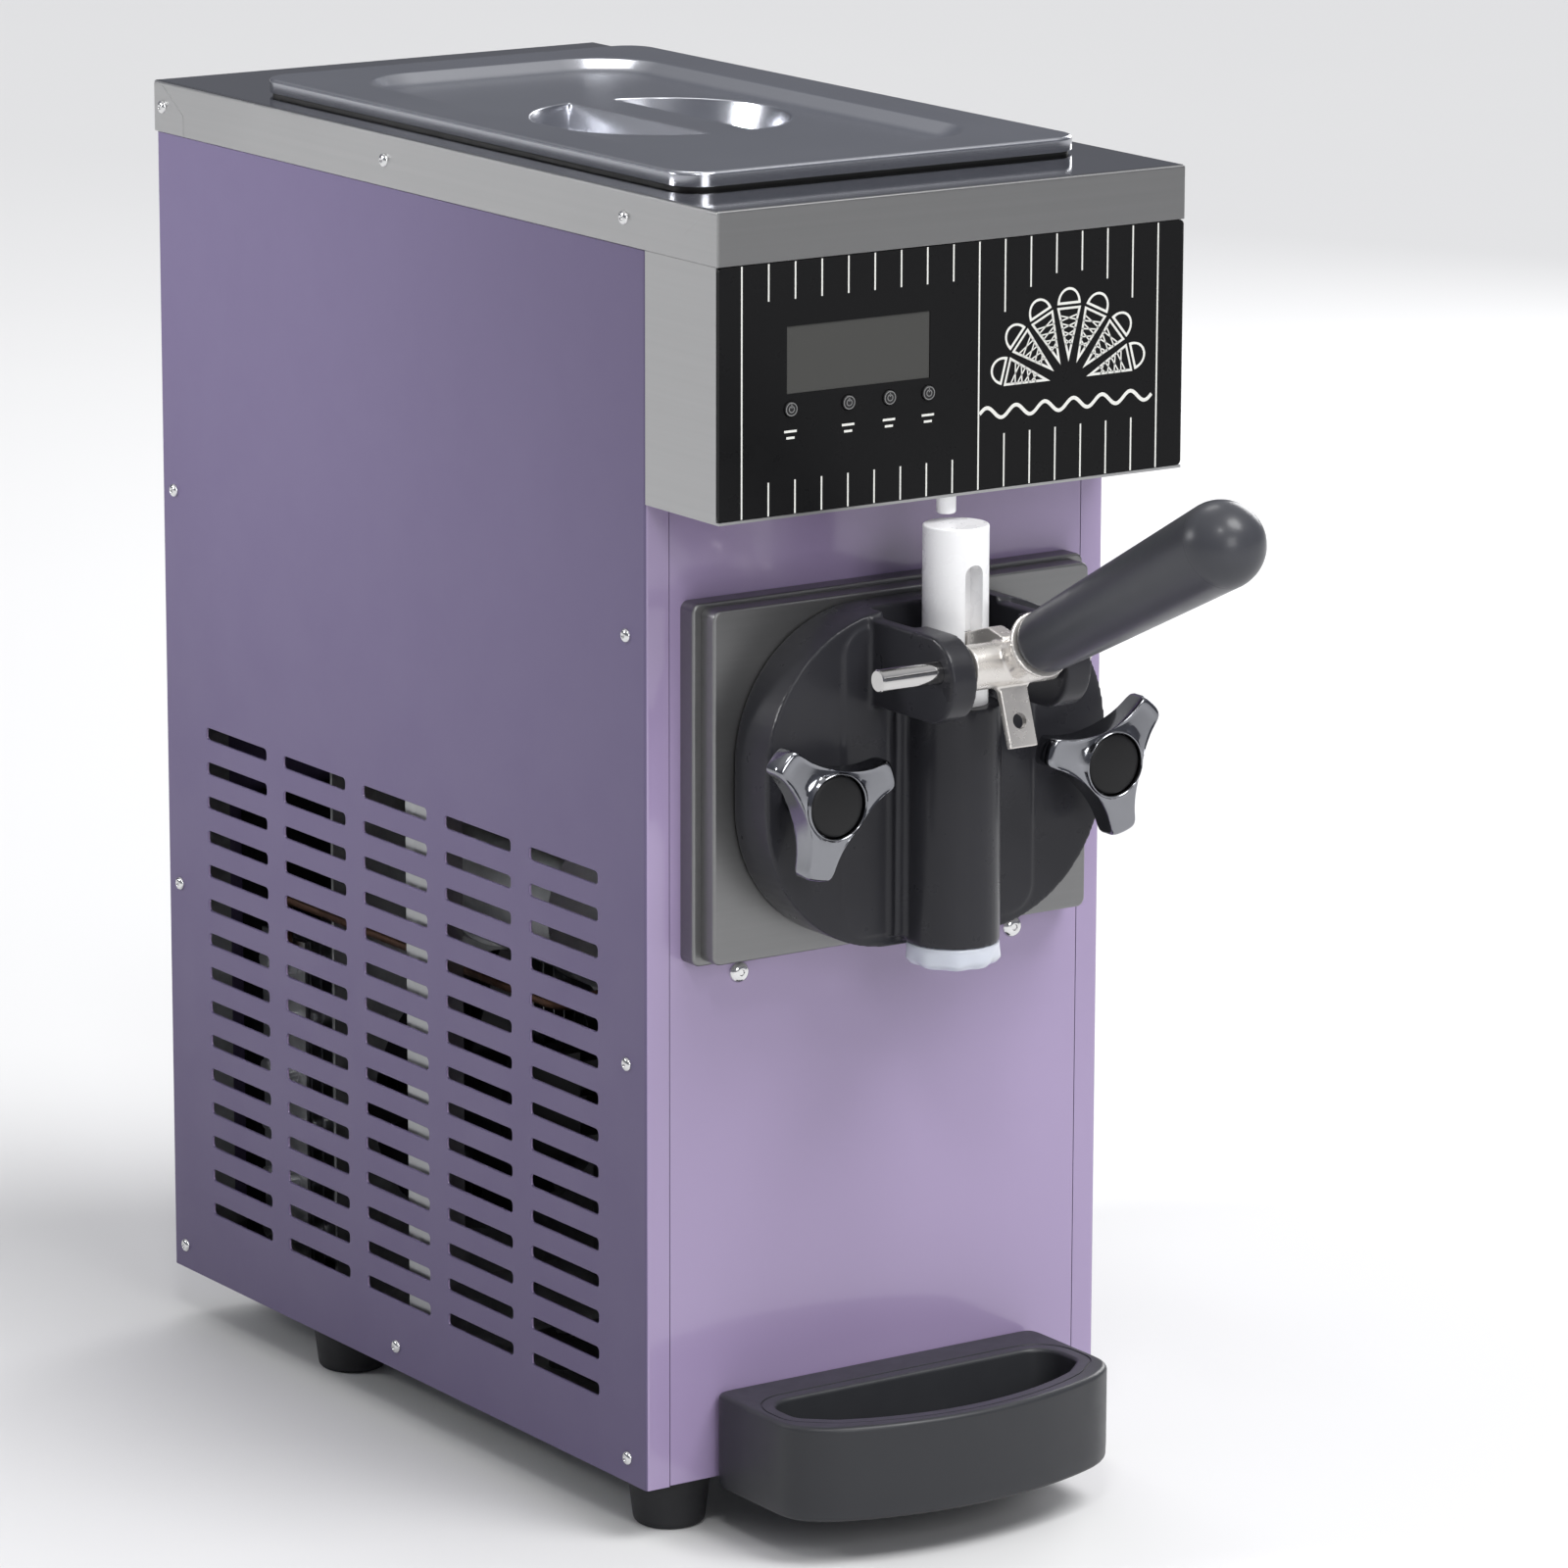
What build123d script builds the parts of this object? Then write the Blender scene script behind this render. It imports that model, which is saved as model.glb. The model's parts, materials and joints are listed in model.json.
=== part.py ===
"""Countertop single-flavour soft serve machine, modelled as separate pieces.

Millimetres, +Z up, -Y is the serving side. The origin is on the floor, under the centre
of the machine's whole box. Each section makes one sub-part in its own place.
"""
import os
from math import cos, radians, sin

from build123d import *

# ---------------------------------------------------------------- driving dimensions
cover_width = 244.2
cover_depth = 478.6
body_width = 243.0
body_height = 577.0
band_height = 24.0
sheet = 1.2
foot_height = 25.0
head_depth = 57.0
head_height = 110.0

grip_reach = 208.1
grip_rise = 27.1
grip_radii = (13.6, 16.9, 18.9)
gland_reach = 8.0

cylinder_height = 319.0
bowl_radius = 46.0
knob_spacing = 146.6
plunger_radius = 14.5
pin_radius = 5.0

running_gap = 0.05
free_gap = 0.3

# ---------------------------------------------------------------- planes and heights they give
front = (grip_reach - cover_depth - gland_reach) / 2
rear = front + cover_depth
panel_y = front + head_depth
base = foot_height
top = base + body_height
band_bottom = top - band_height
head_bottom = band_bottom - head_height
half_body = body_width / 2
half_cover = cover_width / 2
axis_z = base + cylinder_height
plunger_y = front - 1.5
pivot_y = front - 40.0
pivot_z = base + 377.0

pieces = {}


def slab(x, y, z, mode=Mode.ADD):
    """A block between (low, high) limits on each axis."""
    with Locations(((x[0] + x[1]) / 2, (y[0] + y[1]) / 2, (z[0] + z[1]) / 2)):
        Box(x[1] - x[0], y[1] - y[0], z[1] - z[0], mode=mode)


def rod_x(y, z, x, radius, mode=Mode.ADD):
    """A cylinder along X between the two limits x."""
    with Locations(((x[0] + x[1]) / 2, y, z)):
        Cylinder(radius, x[1] - x[0], rotation=(0, 90, 0), mode=mode)


def rod_y(x, z, y, radius, mode=Mode.ADD):
    """A cylinder along Y between the two limits y."""
    with Locations((x, (y[0] + y[1]) / 2, z)):
        Cylinder(radius, y[1] - y[0], rotation=(90, 0, 0), mode=mode)


def rod_z(x, y, z, radius, mode=Mode.ADD):
    """A cylinder along Z between the two limits z."""
    with Locations((x, y, (z[0] + z[1]) / 2)):
        Cylinder(radius, z[1] - z[0], mode=mode)


def facing_front(y):
    """Sketch plane at depth y seen from the front: x right, y up, normal towards -Y."""
    return Plane.XZ.offset(-y)


# ---------------------------------------------------------------- feet
foot_x = 93.5
foot_depths = (front + 82.0, front + 357.0)
foot_places = [(x, y) for x in (-foot_x, foot_x) for y in foot_depths]
foot_radii = (16.2, 18.8)
foot_recess = (7.0, 9.0)

with BuildPart() as feet:
    with Locations(*[(x, y, base / 2) for x, y in foot_places]):
        Cone(foot_radii[0], foot_radii[1], base)
    with Locations(*[(x, y, foot_recess[1] / 2) for x, y in foot_places]):
        Cylinder(foot_recess[0], foot_recess[1], mode=Mode.SUBTRACT)
    fillet(feet.edges().group_by(Axis.Z)[0].filter_by(lambda e: e.radius > foot_recess[0] + 1), 1.5)
pieces["feet"] = feet

# ---------------------------------------------------------------- where the panel screws go
side_screw_places = [(front + y, base + z) for y in (72.2, 466.0) for z in (11.5, 191.8, 383.2)]
side_screw_places.append((front + 269.7, base + 11.5))
band_screw_places = [(front + y, base + 565.0) for y in (72.2, 269.7, 470.4)]
screw_shank = 1.9
screw_hole = 2.2


def screw_holes(places):
    """Clearance holes right across the machine at (y, z) places."""
    for y, z in places:
        rod_x(y, z, (-half_body - 2, half_body + 2), screw_hole, mode=Mode.SUBTRACT)


# ---------------------------------------------------------------- base tray and frame posts
tray_half = half_body - sheet - 0.2
tray_limits_y = (panel_y + sheet + 0.2, rear - 2.6)
tray_flange = 20.0

with BuildPart() as base_tray:
    slab((-tray_half, tray_half), tray_limits_y, (base, base + tray_flange))
    slab(
        (-tray_half + sheet, tray_half - sheet),
        (tray_limits_y[0] + sheet, tray_limits_y[1] - sheet),
        (base + sheet, base + tray_flange),
        mode=Mode.SUBTRACT,
    )
    screw_holes(side_screw_places)
pieces["base_tray"] = base_tray

post_wall = 1.5
post_leg_side = 20.0
post_leg_across = 18.0
post_face = tray_half - sheet
post_starts = (tray_limits_y[0] + sheet, front + 242.0, front + 454.0)
post_limits_z = (base + sheet, top - 4.0)

with BuildPart() as frame_posts:
    for side in (-1, 1):
        for start in post_starts:
            across = sorted((side * post_face, side * (post_face - post_leg_across)))
            along = sorted((side * post_face, side * (post_face - post_wall)))
            slab(across, (start, start + post_wall), post_limits_z)
            slab(along, (start, start + post_leg_side), post_limits_z)
    screw_holes(side_screw_places + band_screw_places)
pieces["frame_posts"] = frame_posts

# ---------------------------------------------------------------- side panels with vent slots
flange_width = 12.0
panel_top = band_bottom - 0.3
slot_size = (56.0, 5.8)
slot_pitch = (71.75, 16.7)
slot_counts = (5, 15)
slot_centre = (front + 267.5, base + 153.5)
slot_corner = 2.0


def side_panel(side):
    """One folded sheet: a slotted side with narrow returns at the front and the rear."""
    outer = side * half_body
    inner = side * (half_body - sheet)
    edge = side * (half_body - flange_width)
    with BuildPart() as panel:
        slab(sorted((outer, inner)), (panel_y, rear - sheet), (base, panel_top))
        slab(sorted((outer, edge)), (panel_y, panel_y + sheet), (base, panel_top))
        slab(sorted((outer, edge)), (rear - 2 * sheet, rear - sheet), (base, panel_top))
        fillet(
            panel.edges().filter_by(Axis.Z).group_by(Axis.X)[0 if side < 0 else -1],
            sheet * 0.8,
        )
        with BuildSketch(Plane.YZ.offset(outer)):
            with Locations(slot_centre):
                with GridLocations(*slot_pitch, *slot_counts):
                    RectangleRounded(*slot_size, slot_corner)
            with Locations(*side_screw_places):
                Circle(screw_hole)
        extrude(amount=-side * 2 * sheet, mode=Mode.SUBTRACT)
    return panel


pieces["side_panel_left"] = side_panel(-1)
pieces["side_panel_right"] = side_panel(1)

# ---------------------------------------------------------------- front and rear panels
front_half = half_body - flange_width - 0.4
mouth_radius = bowl_radius + 2.4
low_screw_x = 73.4
low_screw_z = base + 230.0
lug_x = 52.0
lug_size = (24.0, 16.0, 4.0)
lug_z = base + 14.0

with BuildPart() as front_panel:
    slab((-front_half, front_half), (panel_y, panel_y + sheet), (base + 0.5, band_bottom - 0.3))
    rod_y(0, axis_z, (panel_y - 1, panel_y + 2 * sheet), mouth_radius + 1, mode=Mode.SUBTRACT)
    for x in (-low_screw_x, low_screw_x):
        rod_y(x, low_screw_z, (panel_y - 1, panel_y + 2 * sheet), screw_hole, mode=Mode.SUBTRACT)
    for x in (-lug_x, lug_x):
        slab(
            (x - lug_size[0] / 2, x + lug_size[0] / 2),
            (panel_y - lug_size[1], panel_y),
            (lug_z, lug_z + lug_size[2]),
        )
pieces["front_panel"] = front_panel

rear_slot_size = (70.0, 5.8)
rear_slot_pitch = (88.0, 16.7)
rear_slot_counts = (2, 12)
gland_place = (60.0, base + 330.0)
gland_radius = 10.0
rear_screw_places = [(x, base + z) for x in (-98.0, 98.0) for z in (25.0, 275.0, 530.0)]

with BuildPart() as rear_panel:
    slab((-front_half, front_half), (rear - 2 * sheet, rear - sheet), (base + 0.5, panel_top))
    with BuildSketch(facing_front(rear - sheet)):
        with Locations((0, base + 120.0)):
            with GridLocations(*rear_slot_pitch, *rear_slot_counts):
                RectangleRounded(*rear_slot_size, slot_corner)
        with Locations(gland_place):
            Circle(gland_radius)
        with Locations(*rear_screw_places):
            Circle(screw_hole)
    extrude(amount=2 * sheet, mode=Mode.SUBTRACT)
pieces["rear_panel"] = rear_panel

with BuildPart() as cable_gland:
    rod_y(gland_place[0], gland_place[1], (rear - 14.0, rear - sheet), gland_radius - 0.2)
    with BuildSketch(facing_front(rear - sheet)):
        with Locations(gland_place):
            RegularPolygon(gland_radius + 4.0, 6)
    extrude(amount=-4.0)
    rod_y(gland_place[0], gland_place[1], (rear + 2.8, rear + gland_reach), gland_radius - 1.0)
    rod_y(gland_place[0], gland_place[1], (rear - 15.0, rear + gland_reach + 1), 4.2, mode=Mode.SUBTRACT)
pieces["cable_gland"] = cable_gland

# ---------------------------------------------------------------- hopper and top cover
hopper_half = 90.0
hopper_limits_y = (front + 64.0, front + 398.0)
hopper_centre_y = sum(hopper_limits_y) / 2
hopper_length = hopper_limits_y[1] - hopper_limits_y[0]
hopper_corner = 24.0
hopper_floor = base + 452.0
plate_bottom = top - sheet
outlet_y = front + 84.0
outlet_radius = 9.0
outlet_bottom = axis_z + bowl_radius + 2.2

with BuildPart() as hopper:
    with BuildSketch(Plane.XY.offset(hopper_floor)):
        with Locations((0, hopper_centre_y)):
            RectangleRounded(2 * hopper_half, hopper_length, hopper_corner)
    extrude(amount=plate_bottom - hopper_floor)
    fillet(hopper.faces().sort_by(Axis.Z)[0].edges(), 12.0)
    offset(amount=-sheet, openings=hopper.faces().sort_by(Axis.Z)[-1])
    with BuildSketch(Plane.XY.offset(plate_bottom - sheet)):
        with Locations((0, hopper_centre_y)):
            RectangleRounded(2 * hopper_half + 20, hopper_length + 20, hopper_corner + 8)
            RectangleRounded(2 * hopper_half - 2, hopper_length - 2, hopper_corner - 1, mode=Mode.SUBTRACT)
    extrude(amount=sheet)
    rod_z(0, outlet_y, (outlet_bottom, hopper_floor + sheet / 2), outlet_radius + sheet)
    rod_z(0, outlet_y, (outlet_bottom - 1, hopper_floor + 2 * sheet), outlet_radius, mode=Mode.SUBTRACT)
pieces["hopper"] = hopper

with BuildPart() as top_cover:
    slab((-half_cover, half_cover), (front, rear), (band_bottom, top))
    slab(
        (-half_cover + sheet, half_cover - sheet),
        (front + sheet, rear - sheet),
        (band_bottom - 1, plate_bottom),
        mode=Mode.SUBTRACT,
    )
    with BuildSketch(Plane.XY.offset(plate_bottom - 1)):
        with Locations((0, hopper_centre_y)):
            RectangleRounded(2 * (hopper_half - sheet), hopper_length - 2 * sheet, hopper_corner - sheet)
    extrude(amount=3 * sheet, mode=Mode.SUBTRACT)
    screw_holes(band_screw_places)
pieces["top_cover"] = top_cover

with BuildPart() as air_tube:
    rod_z(0, outlet_y, (hopper_floor - 14.0, hopper_floor + 92.0), outlet_radius - 0.15)
    rod_z(0, outlet_y, (hopper_floor + 10.0, hopper_floor + 16.0), outlet_radius + 3.0)
    rod_z(0, outlet_y, (hopper_floor - 15.0, hopper_floor + 93.0), outlet_radius - 3.0, mode=Mode.SUBTRACT)
    rod_x(outlet_y, hopper_floor + 6.0, (-outlet_radius - 1, outlet_radius + 1), 2.0, mode=Mode.SUBTRACT)
pieces["air_tube"] = air_tube

# ---------------------------------------------------------------- panel screws
screw_head_radius = 3.2
screw_head_height = 1.9
side_screw_length = 4.6
all_side_places = [(y, z, half_body) for y, z in side_screw_places]
all_side_places += [(y, z, half_cover) for y, z in band_screw_places]

with BuildPart() as panel_screws:
    for side in (-1, 1):
        for y, z, face in all_side_places:
            rod_x(y, z, sorted((side * face, side * (face + screw_head_height))), screw_head_radius)
            rod_x(y, z, sorted((side * face, side * (face - side_screw_length))), screw_shank)
    for x, z in rear_screw_places:
        rod_y(x, z, (rear - sheet, rear - sheet + screw_head_height), screw_head_radius)
        rod_y(x, z, (rear - 2.9 * sheet, rear - sheet), screw_shank)
pieces["panel_screws"] = panel_screws

low_screw_radius = 5.0

with BuildPart() as front_screws:
    for x in (-low_screw_x, low_screw_x):
        rod_y(x, low_screw_z, (panel_y - 3.2, panel_y), low_screw_radius)
        rod_y(x, low_screw_z, (panel_y, panel_y + 8.0), screw_shank)
    fillet(front_screws.edges().group_by(Axis.Y)[0], 2.4)
pieces["front_screws"] = front_screws

# ---------------------------------------------------------------- control head
head_face = front + 2.2
fascia_half = half_body - 0.1
fascia_limits_z = (head_bottom + 1.4, band_bottom - 0.2)
window_limits_x = (-87.0, -13.3)
window_limits_z = (base + 496.0, base + 525.0)
window_centre = (sum(window_limits_x) / 2, sum(window_limits_z) / 2)
window_size = (window_limits_x[1] - window_limits_x[0], window_limits_z[1] - window_limits_z[0])
button_xs = (-85.2, -55.6, -34.5, -14.2)
button_z = base + 489.6
button_radius = 3.25
button_flange = 4.6
switch_hole = 4.6
switch_x = 2.4
switch_y = front + 9.4

with BuildPart() as control_housing:
    slab((-half_body, half_body), (head_face, panel_y - 0.1), (head_bottom, band_bottom - 0.2))
    slab(
        (-half_body + sheet, half_body - sheet),
        (head_face + sheet, panel_y),
        (head_bottom + sheet, band_bottom),
        mode=Mode.SUBTRACT,
    )
    slab((-half_body, half_body), (front, head_face), (head_bottom, head_bottom + sheet))
    with BuildSketch(facing_front(head_face)):
        with Locations(window_centre):
            Rectangle(*window_size)
        with Locations(*[(x, button_z) for x in button_xs]):
            Circle(button_flange + 0.6)
    extrude(amount=-2 * sheet, mode=Mode.SUBTRACT)
    rod_z(switch_x, switch_y, (head_bottom - 1, head_bottom + 2 * sheet), switch_hole, mode=Mode.SUBTRACT)
pieces["control_housing"] = control_housing

with BuildPart() as control_fascia:
    with BuildSketch(facing_front(front)):
        with Locations((0, sum(fascia_limits_z) / 2)):
            RectangleRounded(2 * fascia_half, fascia_limits_z[1] - fascia_limits_z[0], 2.0)
        with Locations(window_centre):
            Rectangle(*window_size, mode=Mode.SUBTRACT)
        with Locations(*[(x, button_z) for x in button_xs]):
            Circle(button_radius + free_gap, mode=Mode.SUBTRACT)
    extrude(amount=-(head_face - front))
pieces["control_fascia"] = control_fascia

with BuildPart() as display_window:
    with BuildSketch(facing_front(front + 0.4)):
        with Locations(window_centre):
            Rectangle(window_size[0] - 0.2, window_size[1] - 0.2)
    extrude(amount=-1.7)
pieces["display_window"] = display_window

board_y = front + 12.0
tact_height = 2.0
stem_end = board_y - tact_height - 1.0

with BuildPart() as control_board:
    slab((-105.0, 105.0), (board_y, board_y + 1.6), (base + 470.0, base + 535.0))
    slab((window_limits_x[0] - 2, window_limits_x[1] + 2), (front + 4.2, board_y), window_limits_z)
    for x in button_xs:
        slab((x - 3.0, x + 3.0), (board_y - tact_height, board_y), (button_z - 3.0, button_z + 3.0))
    slab((30.0, 78.0), (board_y + 1.6, board_y + 22.0), (base + 482.0, base + 522.0))
    for x in (-60.0, -40.0, 92.0):
        rod_y(x, base + 500.0, (board_y + 1.6, board_y + 18.0), 6.0)
pieces["control_board"] = control_board

button_names = ("button_mode", "button_down", "button_up", "button_power")
for name, x in zip(button_names, button_xs):
    with BuildPart() as button:
        rod_y(x, button_z, (front - 1.0, head_face + free_gap), button_radius)
        rod_y(x, button_z, (head_face + free_gap, head_face + 1.5), button_flange)
        rod_y(x, button_z, (head_face + 1.5, stem_end), 1.8)
        fillet(button.edges().group_by(Axis.Y)[0], 0.5)
    pieces[name] = button

with BuildPart() as draw_switch_pin:
    rod_z(switch_x, switch_y, (base + 434.0, head_bottom + sheet + free_gap), switch_hole - free_gap)
    rod_z(switch_x, switch_y, (head_bottom + sheet + free_gap, head_bottom + 4.0), switch_hole + 1.0)
    fillet(draw_switch_pin.edges().group_by(Axis.Z)[0], 1.2)
pieces["draw_switch_pin"] = draw_switch_pin

# ---------------------------------------------------------------- door plates, studs and gasket
flange_half = 103.6
flange_limits_z = (base + 238.0, base + 399.0)
cover_half = 99.5
cover_limits_z = (base + 240.0, base + 397.0)
plate_step = 10.0
plate_wall = 1.5
stud_x = knob_spacing / 2
stud_radius = 4.0
flange_y = panel_y - plate_step
plate_y = flange_y - plate_step


def pressed_plate(half_width, limits_z, face_y):
    """A shallow pressed plate, open at the back, with the cylinder mouth and two stud holes."""
    centre_z = sum(limits_z) / 2
    height = limits_z[1] - limits_z[0]
    with BuildPart() as plate:
        with BuildSketch(facing_front(face_y)):
            with Locations((0, centre_z)):
                RectangleRounded(2 * half_width, height, 4.0)
        extrude(amount=-plate_step)
        fillet(plate.faces().sort_by(Axis.Y)[0].edges(), 1.2)
        with BuildSketch(facing_front(face_y + plate_wall)):
            with Locations((0, centre_z)):
                RectangleRounded(2 * (half_width - plate_wall), height - 2 * plate_wall, 2.5)
        extrude(amount=-plate_step, mode=Mode.SUBTRACT)
        rod_y(0, axis_z, (face_y, face_y + plate_step), mouth_radius + 4.0)
        rod_y(0, axis_z, (face_y - 1, face_y + 2 * plate_step), mouth_radius, mode=Mode.SUBTRACT)
        for x in (-stud_x, stud_x):
            rod_y(x, axis_z, (face_y - 1, face_y + 2 * plate_step), stud_radius + 0.3, mode=Mode.SUBTRACT)
    return plate


pieces["door_flange"] = pressed_plate(flange_half, flange_limits_z, flange_y)
pieces["door_cover"] = pressed_plate(cover_half, cover_limits_z, plate_y)

knob_face = front - 21.7
stud_tip = front - 12.0

with BuildPart() as studs:
    for x in (-stud_x, stud_x):
        rod_y(x, axis_z, (stud_tip, panel_y), stud_radius)
        rod_y(x, axis_z, (flange_y + plate_wall, flange_y + plate_wall + 5.0), 7.5)
pieces["studs"] = studs

gasket_radii = (48.8, 52.4)
gasket_depth = 2.6

with BuildPart() as head_gasket:
    rod_y(0, axis_z, (plate_y - gasket_depth, plate_y), gasket_radii[1])
    rod_y(0, axis_z, (plate_y - 2 * gasket_depth, plate_y + 1), gasket_radii[0], mode=Mode.SUBTRACT)
pieces["head_gasket"] = head_gasket

# ---------------------------------------------------------------- dispensing head
head_half = 89.5
head_limits_z = (base + 244.5, base + 394.5)
head_corner = 66.0
head_front = front + 10.0
column_radius = 20.5
column_bottom = base + 247.0
cavity_floor = base + 353.0
cavity_half = 30.0
cavity_back = front + 20.0
ear_limits_x = (23.7, 36.4)
ear_nose = (front - 33.0, base + 372.5)
ear_nose_radius = 19.0
port_z = base + 268.0
port_radius = 6.0
spout_radius = 16.0
spout_bottom = base + 241.0
bushing_radius = 13.0
bushing_y = front + 24.0
plunger_bottom = base + 258.0

with BuildPart() as dispensing_head:
    with BuildSketch(facing_front(head_front)):
        with Locations((0, sum(head_limits_z) / 2)):
            RectangleRounded(2 * head_half, head_limits_z[1] - head_limits_z[0], head_corner)
    extrude(amount=-(plate_y - head_front))
    fillet(dispensing_head.faces().sort_by(Axis.Y)[0].edges(), 2.0)
    rod_z(0, plunger_y, (head_limits_z[0] - 1, column_bottom), column_radius + 0.6, mode=Mode.SUBTRACT)
    rod_z(0, plunger_y, (column_bottom, cavity_floor), column_radius)
    slab((-column_radius, column_radius), (plunger_y, head_front + 4.0), (column_bottom, cavity_floor))
    rod_z(0, plunger_y, (spout_bottom, column_bottom + 1.0), spout_radius)
    slab((-ear_limits_x[1], ear_limits_x[1]), (ear_nose[0], head_front + 2.0),
         (ear_nose[1] - ear_nose_radius, ear_nose[1] + ear_nose_radius))
    rod_x(ear_nose[0], ear_nose[1], (-ear_limits_x[1], ear_limits_x[1]), ear_nose_radius)
    slab((-ear_limits_x[0], ear_limits_x[0]), (front - 60.0, cavity_back), (cavity_floor, top),
         mode=Mode.SUBTRACT)
    slab((-cavity_half, cavity_half), (front - 14.0, cavity_back), (cavity_floor, top),
         mode=Mode.SUBTRACT)
    rod_z(0, plunger_y, (spout_bottom - 1, cavity_floor + 1), plunger_radius + running_gap,
          mode=Mode.SUBTRACT)
    rod_y(0, port_z, (plunger_y, plate_y + 1), port_radius, mode=Mode.SUBTRACT)
    rod_y(0, axis_z, (plate_y - 8.0, plate_y + 1), bowl_radius, mode=Mode.SUBTRACT)
    with BuildSketch(Plane.YZ.offset(-port_radius)):
        with BuildLine():
            Polyline((plate_y - 8.0, port_z - port_radius), (plate_y, port_z - port_radius),
                     (plate_y, axis_z), (plate_y - 8.0, axis_z), close=True)
        make_face()
    extrude(amount=2 * port_radius, mode=Mode.SUBTRACT)
    rod_y(0, axis_z, (plate_y - gasket_depth - 0.1, plate_y + 1), gasket_radii[1] + 0.2,
          mode=Mode.SUBTRACT)
    rod_y(0, axis_z, (bushing_y, plate_y - 7.0), bushing_radius, mode=Mode.SUBTRACT)
    rod_x(pivot_y, pivot_z, (-60.0, 60.0), pin_radius + running_gap, mode=Mode.SUBTRACT)
    for x in (-stud_x, stud_x):
        rod_y(x, axis_z, (head_front - 1, plate_y + 1), stud_radius + 0.5, mode=Mode.SUBTRACT)
pieces["dispensing_head"] = dispensing_head

with BuildPart() as nozzle_cap:
    rod_z(0, plunger_y, (base + 236.5, column_bottom - free_gap), column_radius + 0.25)
    fillet(nozzle_cap.edges().group_by(Axis.Z)[0], 2.5)
    rod_z(0, plunger_y, (spout_bottom - free_gap, column_bottom), spout_radius + free_gap,
          mode=Mode.SUBTRACT)
    with BuildSketch(Plane.XY.offset(base + 235.0)):
        with Locations((0, plunger_y)):
            Circle(6.5)
            with PolarLocations(6.5, 6):
                Rectangle(7.0, 4.2)
    extrude(amount=10.0, mode=Mode.SUBTRACT)
pieces["nozzle_cap"] = nozzle_cap

# ---------------------------------------------------------------- plunger and its seals
plunger_top = base + 431.4
slot_width = 9.2
slot_limits_z = (base + 368.0, base + 415.4)
slot_back = front - 6.0
pocket_limits_z = (base + 374.5, base + 384.5)
pocket_back = front - 1.2
seal_heights = (base + 263.0, base + 284.0, base + 345.0)
seal_section = 2.4

with BuildPart() as plunger:
    rod_z(0, plunger_y, (plunger_bottom, plunger_top), plunger_radius)
    fillet(plunger.edges().group_by(Axis.Z)[-1], 0.8)
    chamfer(plunger.edges().group_by(Axis.Z)[0], 1.0)
    with BuildSketch(facing_front(front - 20.0)):
        with Locations((0, sum(slot_limits_z) / 2)):
            SlotOverall(slot_limits_z[1] - slot_limits_z[0], slot_width, rotation=90)
    extrude(amount=-(slot_back - (front - 20.0)), mode=Mode.SUBTRACT)
    slab((-slot_width / 2, slot_width / 2), (front - 20.0, pocket_back), pocket_limits_z,
         mode=Mode.SUBTRACT)
    for z in seal_heights:
        with Locations((0, plunger_y, z)):
            Cylinder(plunger_radius + 1, seal_section, mode=Mode.SUBTRACT)
            Cylinder(plunger_radius - seal_section, seal_section)
pieces["plunger"] = plunger

with BuildPart() as plunger_seals:
    for z in seal_heights:
        with Locations((0, plunger_y, z)):
            Cylinder(plunger_radius, seal_section)
            Cylinder(plunger_radius - seal_section, seal_section, mode=Mode.SUBTRACT)
pieces["plunger_seals"] = plunger_seals

# ---------------------------------------------------------------- lever, grip and pivot pin
rise = radians(grip_rise)
grip_tip_y = front - grip_reach + grip_radii[2]
grip_length = (pivot_y - grip_tip_y) / cos(rise)
grip_start = 27.5
sleeve_radius = 10.0
sleeve_half = 22.5
spigot_radius = 7.0
spigot_length = 40.0
collar_radius = 14.6
tongue_half = 4.0
tip_place = (front - 7.0, base + 379.5)
tip_radius = 4.5
tail_length = 37.0
tail_half = 7.2
tail_wall = 2.6

grip_plane = Plane(origin=(0, pivot_y, pivot_z), x_dir=(0, -cos(rise), sin(rise)), z_dir=(1, 0, 0))
grip_axis = Axis((0, pivot_y, pivot_z), (0, -cos(rise), sin(rise)))
tail_plane = Plane(origin=(0, pivot_y, pivot_z), x_dir=(1, 0, 0),
                   z_dir=(0, -cos(rise * 0.7), sin(rise * 0.7)))

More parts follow.
